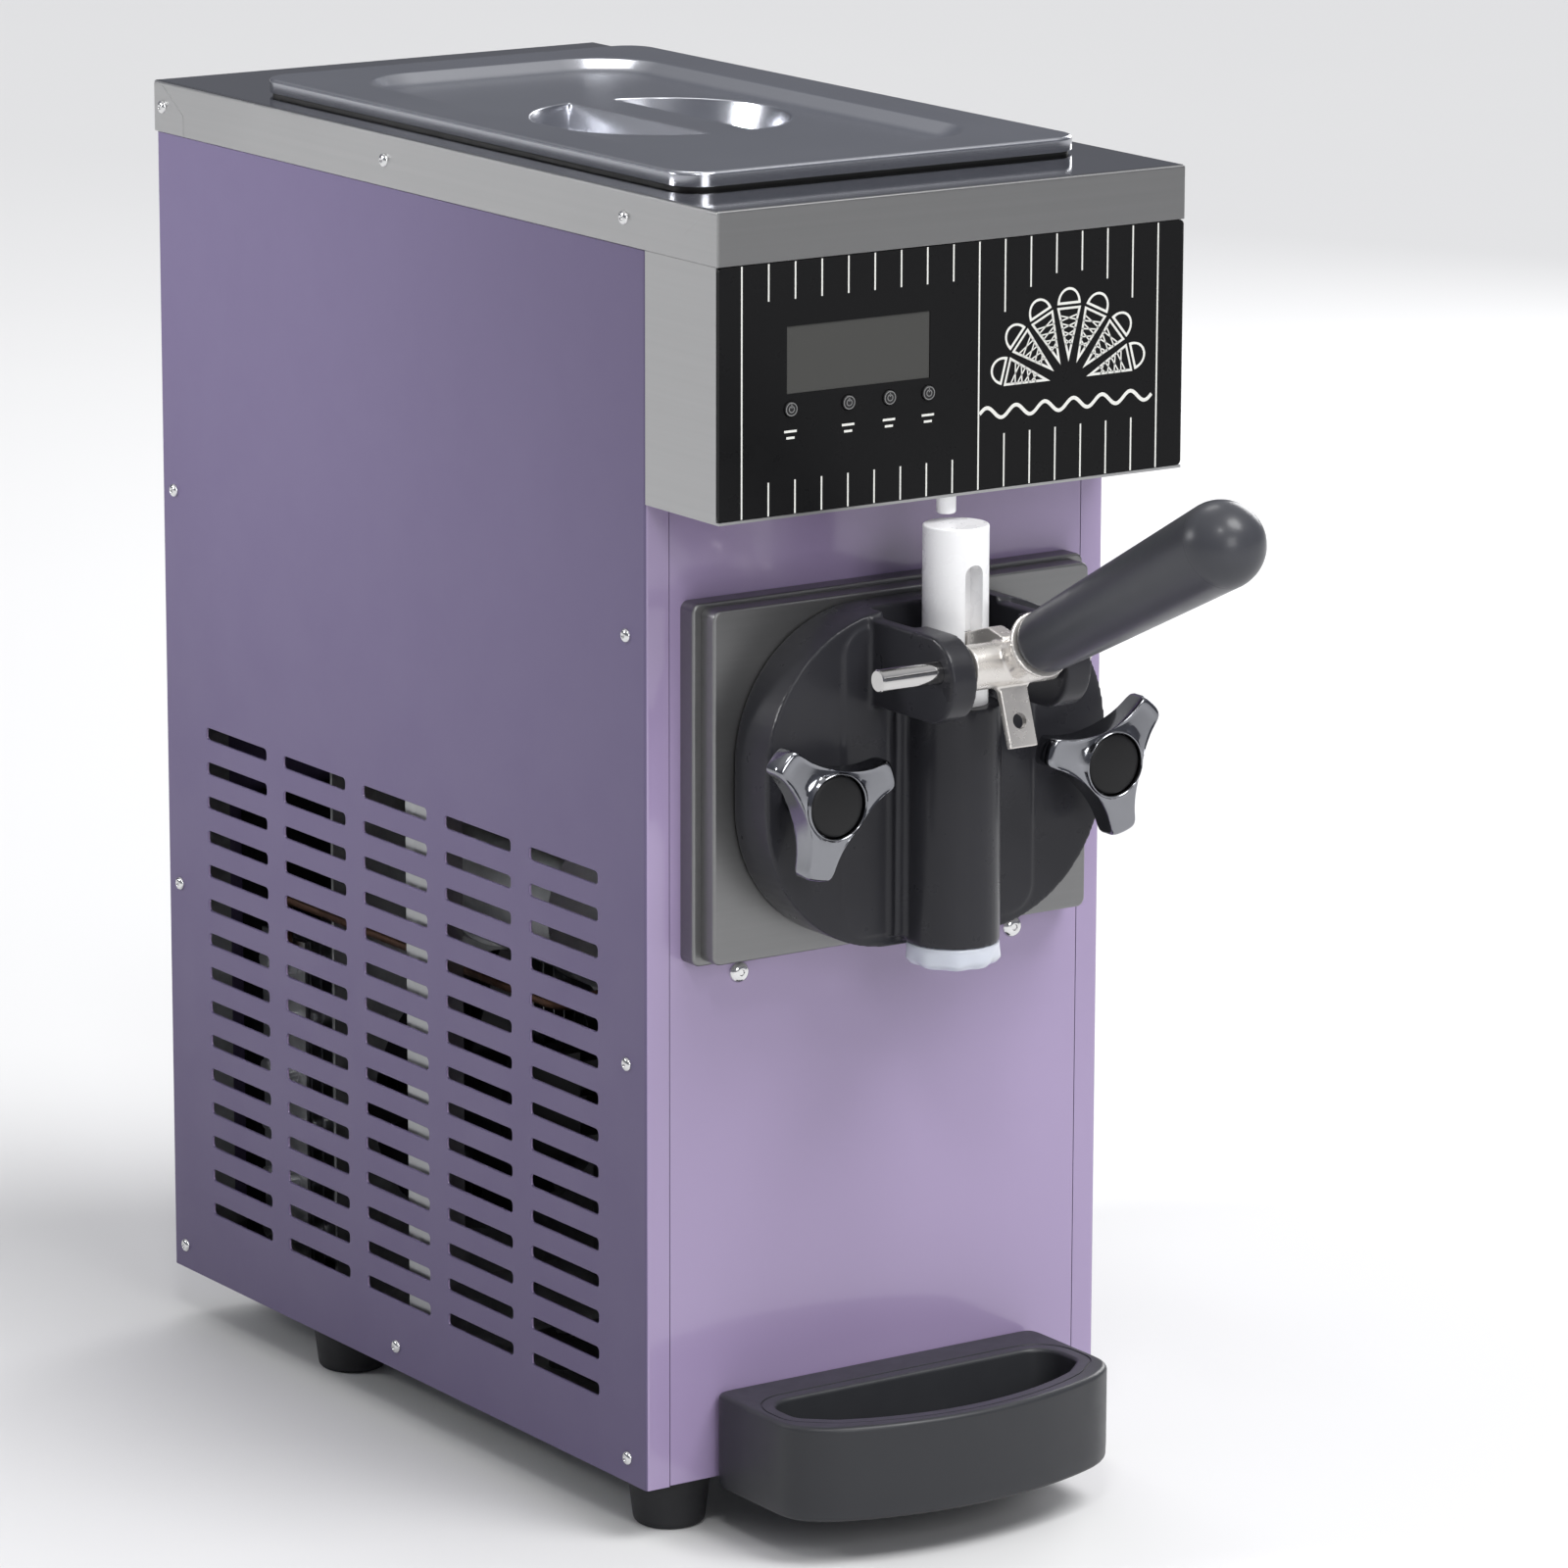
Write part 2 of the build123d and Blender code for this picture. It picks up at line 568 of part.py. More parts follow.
with BuildPart() as lever:
    rod_x(pivot_y, pivot_z, (-sleeve_half, sleeve_half), sleeve_radius)
    with BuildSketch(grip_plane):
        with BuildLine():
            Line((0, 0), (0, spigot_radius))
            Line((0, spigot_radius), (sleeve_radius, spigot_radius))
            Spline((sleeve_radius, spigot_radius), (grip_start - 9, spigot_radius + 1.5),
                   (grip_start - 2, collar_radius))
            Line((grip_start - 2, collar_radius), (grip_start, collar_radius))
            Line((grip_start, collar_radius), (grip_start, spigot_radius))
            Line((grip_start, spigot_radius), (grip_start + spigot_length, spigot_radius))
            Line((grip_start + spigot_length, spigot_radius), (grip_start + spigot_length, 0))
            Line((grip_start + spigot_length, 0), (0, 0))
        make_face()
    revolve(axis=grip_axis)
    with BuildSketch(Plane.YZ.offset(-tongue_half)):
        with BuildLine():
            Polyline((pivot_y, pivot_z - 5.0), (tip_place[0], tip_place[1] - tip_radius),
                     (tip_place[0], tip_place[1] + tip_radius), (pivot_y + 9.0, pivot_z + 14.5),
                     (pivot_y - 2.0, pivot_z + 12.0), close=True)
        make_face()
    extrude(amount=2 * tongue_half)
    rod_x(tip_place[0], tip_place[1], (-tongue_half, tongue_half), tip_radius)
    with BuildSketch(tail_plane):
        with Locations((0, -tail_length / 2)):
            Rectangle(2 * tail_half, tail_length)
        with Locations((0, -tail_length + 11.5)):
            Circle(3.5, mode=Mode.SUBTRACT)
    extrude(amount=tail_wall / 2, both=True)
    rod_x(pivot_y, pivot_z, (-30, 30), pin_radius + running_gap, mode=Mode.SUBTRACT)
pieces["lever"] = lever

with BuildPart() as grip:
    with BuildSketch(grip_plane):
        with BuildLine():
            Spline((grip_start + 0.2, grip_radii[0] - 2.0), (grip_start + 3, grip_radii[0]),
                   (grip_start + 62, grip_radii[1]), (grip_length, grip_radii[2]),
                   tangents=((0.2, 1), (1, 0)))
            RadiusArc((grip_length, grip_radii[2]), (grip_length + grip_radii[2], 0), grip_radii[2])
            Line((grip_length + grip_radii[2], 0), (grip_start + 0.2, 0))
            Line((grip_start + 0.2, 0), (grip_start + 0.2, grip_radii[0] - 2.0))
        make_face()
        with Locations(((grip_start * 2 + spigot_length) / 2, 0)):
            Rectangle(spigot_length + 1, 2 * spigot_radius + 0.1, mode=Mode.SUBTRACT)
    revolve(axis=grip_axis)
pieces["grip"] = grip

pin_limits_x = (-67.5, 42.0)

with BuildPart() as pivot_pin:
    rod_x(pivot_y, pivot_z, pin_limits_x, pin_radius)
    chamfer(pivot_pin.edges().filter_by(GeomType.CIRCLE), 0.6)
pieces["pivot_pin"] = pivot_pin

# ---------------------------------------------------------------- star knobs
knob_reach = 34.0
knob_waist = 15.5
scoop_radius = 50.0
knob_cap_radius = 13.8
knob_back = front + 9.4
lobe_thickness = 12.0
knob_turns = {"left": 138.0, "right": 45.0}


def star_knob(x, turn):
    """A three-lobed knob: a disc with three wide scoops cut between the lobes."""
    with BuildPart() as knob:
        with BuildSketch(facing_front(knob_face + 3.0)):
            with Locations((x, axis_z)):
                Circle(knob_reach)
                with PolarLocations(knob_waist + scoop_radius, 3, start_angle=turn + 60.0):
                    Circle(scoop_radius, mode=Mode.SUBTRACT)
        extrude(amount=-lobe_thickness)
        fillet(knob.edges().filter_by(Axis.Y), 2.5)
        fillet(knob.faces().sort_by(Axis.Y)[0].edges(), 1.2)
        rod_y(x, axis_z, (knob_face + 1.5, knob_face + 12.0), knob_waist - 0.6)
        rod_y(x, axis_z, (knob_face + 12.0, knob_back), 9.0)
        rod_y(x, axis_z, (stud_tip - 1.0, knob_back + 1), stud_radius + running_gap, mode=Mode.SUBTRACT)
        rod_y(x, axis_z, (knob_face - 5, knob_face + 4.5), knob_cap_radius + 0.1, mode=Mode.SUBTRACT)
    return knob


def knob_cap(x):
    """A shallow domed insert in the knob's face."""
    with BuildPart() as cap:
        rod_y(x, axis_z, (knob_face, knob_face + 4.5), knob_cap_radius)
        fillet(cap.edges().group_by(Axis.Y)[0], 1.6)
    return cap


for side, sign in (("left", -1), ("right", 1)):
    pieces[f"star_knob_{side}"] = star_knob(sign * stud_x, knob_turns[side])
    pieces[f"knob_cap_{side}"] = knob_cap(sign * stud_x)

# ---------------------------------------------------------------- lid and its gasket
lid_half = 104.5
lid_limits_y = (front + 50.0, front + 412.0)
lid_centre_y = sum(lid_limits_y) / 2
lid_length = lid_limits_y[1] - lid_limits_y[0]
lid_corner = 15.0
lid_wall = 1.4
lid_top = top + 8.0
lid_rim = 27.5
pan_floor = lid_top - 5.0
recess_radius = 60.0
recess_floor = pan_floor - 15.0
gasket_thickness = 1.4

with BuildPart() as lid:
    with BuildSketch(Plane.XY.offset(top + gasket_thickness)):
        with Locations((0, lid_centre_y)):
            RectangleRounded(2 * lid_half, lid_length, lid_corner)
    extrude(amount=lid_top - top - gasket_thickness)
    fillet(lid.faces().sort_by(Axis.Z)[-1].edges(), 2.0)
    with BuildSketch(Plane.XY.offset(lid_top)):
        with Locations((0, lid_centre_y)):
            RectangleRounded(2 * (lid_half - lid_rim), lid_length - 2 * lid_rim, 22.0)
    extrude(amount=-(lid_top - pan_floor), taper=45, mode=Mode.SUBTRACT)
    with BuildSketch(Plane.XY.offset(pan_floor)):
        with Locations((0, lid_centre_y)):
            Circle(recess_radius + lid_wall)
    extrude(amount=-(pan_floor - recess_floor + lid_wall), taper=15)
    with BuildSketch(Plane.XY.offset(pan_floor)):
        with Locations((0, lid_centre_y)):
            Circle(recess_radius)
            Rectangle(22.0, 2 * recess_radius + 2, mode=Mode.SUBTRACT)
    extrude(amount=-(pan_floor - recess_floor), taper=15, mode=Mode.SUBTRACT)
    with BuildSketch(Plane.XY.offset(recess_floor - lid_wall - 1)):
        with Locations((0, lid_centre_y)):
            Rectangle(17.0, 1.6 * recess_radius)
    extrude(amount=pan_floor - recess_floor, mode=Mode.SUBTRACT)
pieces["lid"] = lid

with BuildPart() as lid_gasket:
    with BuildSketch(Plane.XY.offset(top)):
        with Locations((0, lid_centre_y)):
            RectangleRounded(2 * lid_half - 3, lid_length - 3, lid_corner - 1.5)
            RectangleRounded(2 * hopper_half + 6, hopper_length + 4, hopper_corner - 4, mode=Mode.SUBTRACT)
    extrude(amount=gasket_thickness)
pieces["lid_gasket"] = lid_gasket

# ---------------------------------------------------------------- drip tray
tray_side = 86.8
tray_front = front - 31.0
tray_shoulder = front - 17.0
tray_shoulder_x = 71.0
tray_corner = 16.0
tray_limits_z = (base - 3.4, base + 40.0)
tray_rim = 10.0
recess_shoulder_x = 64.0
recess_half = 78.0
recess_draft = 2.0
recess_limits_y = (tray_front + tray_rim, front + 33.0)
tray_floor = base + 10.0

with BuildPart() as drip_tray:
    with BuildSketch(Plane.XY.offset(tray_limits_z[0])):
        with BuildLine():
            bow = ThreePointArc((-tray_shoulder_x, tray_shoulder), (0, tray_front),
                                (tray_shoulder_x, tray_shoulder))
            Line(bow @ 1, (tray_side, tray_shoulder + 12.0))
            Line((tray_side, tray_shoulder + 12.0), (tray_side, panel_y - free_gap))
            Line((tray_side, panel_y - free_gap), (-tray_side, panel_y - free_gap))
            Line((-tray_side, panel_y - free_gap), (-tray_side, tray_shoulder + 12.0))
            Line((-tray_side, tray_shoulder + 12.0), bow @ 0)
        make_face()
        fillet(vertices().group_by(Axis.Y)[1], tray_corner)
        fillet(vertices().group_by(Axis.Y)[0], 8.0)
    extrude(amount=tray_limits_z[1] - tray_limits_z[0])
    fillet(drip_tray.faces().sort_by(Axis.Z)[-1].edges().sort_by(Axis.Y)[:-1], 2.2)
    with BuildSketch(Plane.XY.offset(tray_limits_z[1])):
        with BuildLine():
            inner = ThreePointArc((-recess_shoulder_x, tray_shoulder + 11.0), (0, recess_limits_y[0]),
                                  (recess_shoulder_x, tray_shoulder + 11.0))
            Line(inner @ 1, (recess_half, front + 6.0))
            Line((recess_half, front + 6.0), (recess_half, recess_limits_y[1]))
            Line((recess_half, recess_limits_y[1]), (-recess_half, recess_limits_y[1]))
            Line((-recess_half, recess_limits_y[1]), (-recess_half, front + 6.0))
            Line((-recess_half, front + 6.0), inner @ 0)
        make_face()
        fillet(vertices().group_by(Axis.Y)[-1], 14.0)
    extrude(amount=-(tray_limits_z[1] - tray_floor), taper=recess_draft, mode=Mode.SUBTRACT)
    for x in (-lug_x, lug_x):
        slab(
            (x - lug_size[0] / 2 - free_gap, x + lug_size[0] / 2 + free_gap),
            (panel_y - lug_size[1] - 1.0, panel_y),
            (lug_z - free_gap, lug_z + lug_size[2] + free_gap),
            mode=Mode.SUBTRACT,
        )
pieces["drip_tray"] = drip_tray

# ---------------------------------------------------------------- freezing cylinder
bowl_wall = 1.5
bowl_outer = bowl_radius + bowl_wall
bowl_back = front + 300.0
jacket_limits_y = (front + 100.0, front + 285.0)
foam_limits_y = (panel_y + 6.0, front + 296.0)
jacket_radius = 54.0
foam_radius = 72.0
shaft_radius = 9.95

with BuildPart() as freezing_cylinder:
    rod_y(0, axis_z, (plate_y + 0.2, bowl_back), bowl_outer)
    rod_y(0, axis_z, (plate_y - 1, bowl_back - 3.0), bowl_radius, mode=Mode.SUBTRACT)
    rod_y(0, axis_z, (bowl_back - 5.0, bowl_back + 1), shaft_radius + 0.6, mode=Mode.SUBTRACT)
    rod_z(0, outlet_y, (axis_z, axis_z + 2 * bowl_radius), outlet_radius, mode=Mode.SUBTRACT)
pieces["freezing_cylinder"] = freezing_cylinder

with BuildPart() as evaporator_jacket:
    rod_y(0, axis_z, jacket_limits_y, jacket_radius)
    rod_y(0, axis_z, (front, rear), bowl_outer + 0.1, mode=Mode.SUBTRACT)
pieces["evaporator_jacket"] = evaporator_jacket

with BuildPart() as insulation:
    rod_y(0, axis_z, foam_limits_y, foam_radius)
    rod_y(0, axis_z, (front, rear), bowl_outer + 0.1, mode=Mode.SUBTRACT)
    rod_y(0, axis_z, (jacket_limits_y[0] - 0.1, jacket_limits_y[1] + 0.1), jacket_radius + 0.1,
          mode=Mode.SUBTRACT)
    rod_z(0, outlet_y, (axis_z, top), outlet_radius + sheet + 0.3, mode=Mode.SUBTRACT)
pieces["insulation"] = insulation

# ---------------------------------------------------------------- beater, scrapers and drive shaft
beater_radius = 43.0
beater_limits_y = (front + 42.0, front + 288.0)
beater_shaft = 7.5
rib_count = 16
rib_twist = 33.0

with BuildPart() as beater:
    rod_y(0, axis_z, (bushing_y + 3.0, beater_limits_y[1]), beater_shaft)
    rod_y(0, axis_z, (beater_limits_y[1] - 14.0, beater_limits_y[1]), 16.0)
    rib_step = (beater_limits_y[1] - beater_limits_y[0] - 22.0) / (rib_count - 1)
    for i in range(rib_count):
        centre = (0, beater_limits_y[0] + 4.0 + i * rib_step, axis_z)
        with Locations(Location(centre, (0, i * rib_twist, 0))):
            Box(2 * beater_radius, 7.0, 9.0, rotation=(28, 0, 0))
    rod_y(0, axis_z, (beater_limits_y[1] - 8.0, beater_limits_y[1] + 1), shaft_radius - 3.0,
          mode=Mode.SUBTRACT)
pieces["beater"] = beater

with BuildPart() as beater_bushing:
    rod_y(0, axis_z, (bushing_y + 0.2, plate_y - 7.0), bushing_radius - 0.05)
    rod_y(0, axis_z, (bushing_y + 2.0, plate_y), beater_shaft + running_gap, mode=Mode.SUBTRACT)
pieces["beater_bushing"] = beater_bushing

pulley_y = (front + 381.0, front + 395.0)
bulkhead_y = (front + 376.0, front + 378.0)
housing_y = (front + 300.2, front + 376.0)
big_pulley = 64.0
small_pulley = 16.0
motor_z = base + 205.0
belt_depth = 4.0
belt_limits_y = (pulley_y[0] + 3.5, pulley_y[1] - 3.5)

with BuildPart() as drive_shaft:
    rod_y(0, axis_z, (beater_limits_y[1] - 7.5, beater_limits_y[1]), shaft_radius - 3.2)
    rod_y(0, axis_z, (beater_limits_y[1], pulley_y[1] + 3.0), shaft_radius)
pieces["drive_shaft"] = drive_shaft

with BuildPart() as bearing_housing:
    rod_y(0, axis_z, housing_y, 24.0)
    rod_y(0, axis_z, (housing_y[1] - 6.0, housing_y[1]), 40.0)
    rod_y(0, axis_z, (housing_y[0] - 1, housing_y[1] + 1), shaft_radius + running_gap,
          mode=Mode.SUBTRACT)
pieces["bearing_housing"] = bearing_housing


def pulley(z, radius, bore):
    """A flat-grooved pulley on a shaft along Y, with lightening holes when it is large."""
    with BuildPart() as wheel:
        rod_y(0, z, pulley_y, radius)
        rod_y(0, z, belt_limits_y, radius + 1, mode=Mode.SUBTRACT)
        rod_y(0, z, belt_limits_y, radius - belt_depth)
        rod_y(0, z, (pulley_y[0] - 1, pulley_y[1] + 1), bore, mode=Mode.SUBTRACT)
        if radius > 3 * bore:
            with BuildSketch(facing_front(pulley_y[0] - 1)):
                with Locations((0, z)):
                    with PolarLocations(0.6 * radius, 6):
                        Circle(0.16 * radius)
            extrude(amount=-(pulley_y[1] - pulley_y[0] + 2), mode=Mode.SUBTRACT)
    return wheel


pieces["drive_pulley"] = pulley(axis_z, big_pulley, shaft_radius)

motor_shaft = 6.0
with BuildPart() as motor_pulley:
    add(pulley(motor_z, small_pulley, motor_shaft - 0.05).part)
    rod_y(0, motor_z, (pulley_y[0] - 1.0, pulley_y[1]), motor_shaft)
    rod_y(0, motor_z, (front + 340.0, pulley_y[1]), motor_shaft - 0.05)
pieces["motor_pulley"] = motor_pulley

belt_slack = 0.4
with BuildPart() as drive_belt:
    with BuildSketch(facing_front(belt_limits_y[0] + belt_slack)):
        with Locations((0, axis_z)):
            Circle(big_pulley + 0.6)
        with Locations((0, motor_z)):
            Circle(small_pulley + 0.6)
        make_hull()
    extrude(amount=-(belt_limits_y[1] - belt_limits_y[0] - 2 * belt_slack))
    with BuildSketch(facing_front(belt_limits_y[0])):
        with Locations((0, axis_z)):
            Circle(big_pulley - belt_depth + belt_slack)
        with Locations((0, motor_z)):
            Circle(small_pulley - belt_depth + belt_slack)
        make_hull()
    extrude(amount=-(belt_limits_y[1] - belt_limits_y[0]), mode=Mode.SUBTRACT)
pieces["drive_belt"] = drive_belt

with BuildPart() as scraper_blades:
    for i in range(rib_count - 1):
        centre = (0, beater_limits_y[0] + 4.0 + (i + 0.5) * rib_step, axis_z)
        with Locations(Location(centre, (0, (i + 0.5) * rib_twist, 0))):
            for sign in (-1, 1):
                with Locations((sign * (beater_shaft + 17.0), 0, 0)):
                    Box(34.0, 3.0, 6.0)
pieces["scraper_blades"] = scraper_blades

# ---------------------------------------------------------------- bulkhead, motor and fan
fan_z = base + 92.0
fan_radius = 66.0
bulkhead_half = 90.0
bulkhead_top = base + 400.0
shroud_y = (bulkhead_y[1], front + 399.8)
motor_radius = 39.0
motor_y = (front + 268.0, bulkhead_y[0])

with BuildPart() as drive_bulkhead:
    slab((-bulkhead_half, bulkhead_half), bulkhead_y, (base + sheet, bulkhead_top))
    rod_y(0, fan_z, shroud_y, fan_radius + 5.0)
    rod_y(0, fan_z, (bulkhead_y[0] - 1, shroud_y[1] + 1), fan_radius + 3.0, mode=Mode.SUBTRACT)
    rod_y(0, axis_z, (bulkhead_y[0] - 1, bulkhead_y[1] + 1), shaft_radius + 4.0, mode=Mode.SUBTRACT)
    rod_y(0, motor_z, (bulkhead_y[0] - 1, bulkhead_y[1] + 1), motor_shaft + 3.0, mode=Mode.SUBTRACT)
pieces["drive_bulkhead"] = drive_bulkhead

with BuildPart() as drive_motor:
    rod_y(0, motor_z, motor_y, motor_radius)
    rod_y(0, motor_z, (motor_y[0] + 14.0, motor_y[1] - 14.0), motor_radius + 1, mode=Mode.SUBTRACT)
    rod_y(0, motor_z, (motor_y[0] + 14.0, motor_y[1] - 14.0), motor_radius - 2.0)
    slab((-22.0, 22.0), (motor_y[0] + 20, motor_y[0] + 70), (motor_z - 30, motor_z + 30))
    rod_y(0, motor_z, (front + 339.0, motor_y[1] + 1), motor_shaft + 0.3, mode=Mode.SUBTRACT)
pieces["drive_motor"] = drive_motor

fan_motor_y = (front + 338.0, front + 370.0)
strut_y = (bulkhead_y[0] - 3.0, bulkhead_y[0])
fan_shaft = 3.0
fan_hub_y = (front + 381.0, front + 393.0)

with BuildPart() as fan_motor:
    rod_y(0, fan_z, fan_motor_y, 23.0)
    slab((-18.0, 18.0), (fan_motor_y[0] - 8.0, fan_motor_y[0]), (fan_z - 26.0, fan_z + 26.0))
    slab((-fan_radius - 12.0, fan_radius + 12.0), strut_y, (fan_z - 7.0, fan_z + 7.0))
    rod_y(0, fan_z, (fan_motor_y[1], strut_y[1]), 12.0)
    rod_y(0, fan_z, (front + 350.0, bulkhead_y[1]), fan_shaft + running_gap, mode=Mode.SUBTRACT)
pieces["fan_motor"] = fan_motor

with BuildPart() as fan_blades:
    rod_y(0, fan_z, fan_hub_y, 17.0)
    rod_y(0, fan_z, (front + 351.0, fan_hub_y[0]), fan_shaft)
    with Locations(Location((0, sum(fan_hub_y) / 2, fan_z), (90, 0, 0))):
        with PolarLocations(14.0 + (fan_radius - 14.0) / 2, 5):
            Box(fan_radius - 14.0, 34.0, 1.6, rotation=(18, 0, 0))
pieces["fan_blades"] = fan_blades

condenser_y = (front + 400.0, front + 440.0)
condenser_half = 92.0
condenser_z = (base + 12.0, base + 172.0)
fin_count = 31
coil_rows = 6
coil_radius = 4.0
row_pitch = (condenser_z[1] - condenser_z[0]) / coil_rows
coil_ys = (condenser_y[0] + 11.0, condenser_y[1] - 11.0)
top_coil_z = condenser_z[1] - row_pitch / 2

with BuildPart() as condenser:
    for side in (-1, 1):
        slab(sorted((side * condenser_half, side * (condenser_half - 1.5))), condenser_y,
             (base + sheet, condenser_z[1]))
    for row in range(coil_rows):
        for y in coil_ys:
            z = condenser_z[0] + (row + 0.5) * row_pitch
            rod_x(y, z, (-condenser_half - 6.0, condenser_half + 6.0), coil_radius)
    fin_pitch = (2 * condenser_half - 6.0) / (fin_count - 1)
    for i in range(fin_count):
        x = -condenser_half + 3.0 + i * fin_pitch
        slab((x - 0.3, x + 0.3), condenser_y, condenser_z)
pieces["condenser"] = condenser

# ---------------------------------------------------------------- compressor and pipes
compressor_place = (8.0, front + 168.0)
compressor_radius = 68.0
compressor_z = (base + 14.0, base + 176.0)
mount_offsets = (-62.0, 62.0)
mount_places = [
    (compressor_place[0] + x, compressor_place[1] + y) for x in mount_offsets for y in mount_offsets
]

with BuildPart() as compressor:
    rod_z(*compressor_place, (compressor_z[0] + 3.0, compressor_z[1]), compressor_radius)
    fillet(compressor.edges().filter_by(GeomType.CIRCLE), 26.0)
    rod_z(*compressor_place, (base + 92.0, base + 96.0), compressor_radius + 2.0)
    slab((compressor_place[0] - 72, compressor_place[0] + 72),
         (compressor_place[1] - 72, compressor_place[1] + 72), (compressor_z[0], compressor_z[0] + 3.0))
    with Locations(*[(x, y, compressor_z[0]) for x, y in mount_places]):
        Cylinder(5.0, 20.0, mode=Mode.SUBTRACT)
pieces["compressor"] = compressor

with BuildPart() as compressor_mounts:
    with Locations(*[(x, y, (base + sheet + compressor_z[0]) / 2) for x, y in mount_places]):
        Cylinder(8.0, compressor_z[0] - base - sheet)
    with Locations(*[(x, y, compressor_z[0] + 2.0) for x, y in mount_places]):
        Cylinder(4.8, 4.0)
pieces["compressor_mounts"] = compressor_mounts

pipe_radius = 3.5
shell_top = compressor_z[1]
pipe_x = -96.0
discharge_route = (
    (compressor_place[0] - 30.0, compressor_place[1], shell_top),
    (compressor_place[0] - 30.0, compressor_place[1], shell_top + 18.0),
    (pipe_x, compressor_place[1], shell_top + 18.0),
    (pipe_x, coil_ys[0], shell_top + 18.0),
    (pipe_x, coil_ys[0], top_coil_z + coil_radius),
)
suction_route = (
    (compressor_place[0] + 30.0, compressor_place[1], shell_top),
    (compressor_place[0] + 30.0, compressor_place[1], shell_top + 22.0),
    (90.0, compressor_place[1], shell_top + 22.0),
    (90.0, compressor_place[1], axis_z),
    (foam_radius + 0.1, compressor_place[1], axis_z),
)


def pipe(route):
    """A copper pipe through the corners of a route, with an even bend at each."""
    with BuildPart() as run:
        with BuildLine() as path:
            FilletPolyline(*route, radius=9.0)
        start = path.line @ 0
        with BuildSketch(Plane(origin=start, z_dir=path.line % 0)):
            Circle(pipe_radius)
        sweep(path=path.line)
    return run


with BuildPart() as refrigerant_pipes:
    add(pipe(discharge_route).part)
    add(pipe(suction_route).part)
pieces["refrigerant_pipes"] = refrigerant_pipes

box_limits_x = (38.0, 108.0)
box_limits_y = (front + 290.0, front + 352.0)
box_limits_z = (base + sheet, base + 66.0)

with BuildPart() as electrical_box:
    slab(box_limits_x, box_limits_y, box_limits_z)
    fillet(electrical_box.edges().filter_by(Axis.Z), 3.0)
    with BuildSketch(Plane.XY.offset(box_limits_z[1])):
        with Locations((sum(box_limits_x) / 2, sum(box_limits_y) / 2)):
            Rectangle(box_limits_x[1] - box_limits_x[0] + 3, box_limits_y[1] - box_limits_y[0] + 3)
    extrude(amount=2.0)
pieces["electrical_box"] = electrical_box

# ---------------------------------------------------------------- write every piece
os.makedirs("parts", exist_ok=True)
for label, piece in pieces.items():
    piece.part.label = label
    export_step(piece.part, f"parts/{label}.step")
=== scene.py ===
"""Looks for the soft serve machine: pieces, materials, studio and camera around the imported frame."""

import json
from math import asin, atan2, cos, exp, hypot, pi, radians, sin, sqrt, tan

import bmesh
import bpy
from mathutils import Matrix, Vector


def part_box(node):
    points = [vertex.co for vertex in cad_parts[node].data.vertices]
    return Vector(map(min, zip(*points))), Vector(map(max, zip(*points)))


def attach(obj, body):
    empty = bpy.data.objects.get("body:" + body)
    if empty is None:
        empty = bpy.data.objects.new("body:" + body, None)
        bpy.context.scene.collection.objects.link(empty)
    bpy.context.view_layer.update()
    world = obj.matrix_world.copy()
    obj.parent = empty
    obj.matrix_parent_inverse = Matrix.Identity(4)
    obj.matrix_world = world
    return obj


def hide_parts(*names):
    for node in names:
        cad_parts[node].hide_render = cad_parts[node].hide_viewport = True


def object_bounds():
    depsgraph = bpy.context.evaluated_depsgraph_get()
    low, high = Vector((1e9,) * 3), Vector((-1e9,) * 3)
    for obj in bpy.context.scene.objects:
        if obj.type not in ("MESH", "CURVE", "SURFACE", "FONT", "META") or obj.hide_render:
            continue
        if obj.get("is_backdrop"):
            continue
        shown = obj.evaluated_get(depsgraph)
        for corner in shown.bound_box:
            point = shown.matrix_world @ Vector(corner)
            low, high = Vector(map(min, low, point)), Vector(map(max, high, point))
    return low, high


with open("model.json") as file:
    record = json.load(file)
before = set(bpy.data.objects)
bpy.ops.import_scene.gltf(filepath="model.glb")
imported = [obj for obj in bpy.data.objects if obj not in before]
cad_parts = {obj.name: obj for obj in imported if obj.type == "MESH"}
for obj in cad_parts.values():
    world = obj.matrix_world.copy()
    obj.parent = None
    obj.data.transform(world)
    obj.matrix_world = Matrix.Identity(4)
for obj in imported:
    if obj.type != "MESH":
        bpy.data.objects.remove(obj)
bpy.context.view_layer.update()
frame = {"nodes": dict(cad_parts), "record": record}

MM = 0.001
made = {}  # every material by its name


def box(node):
    """Lowest and highest corner of a CAD node, in millimetres."""
    low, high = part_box(node)
    return low / MM, high / MM


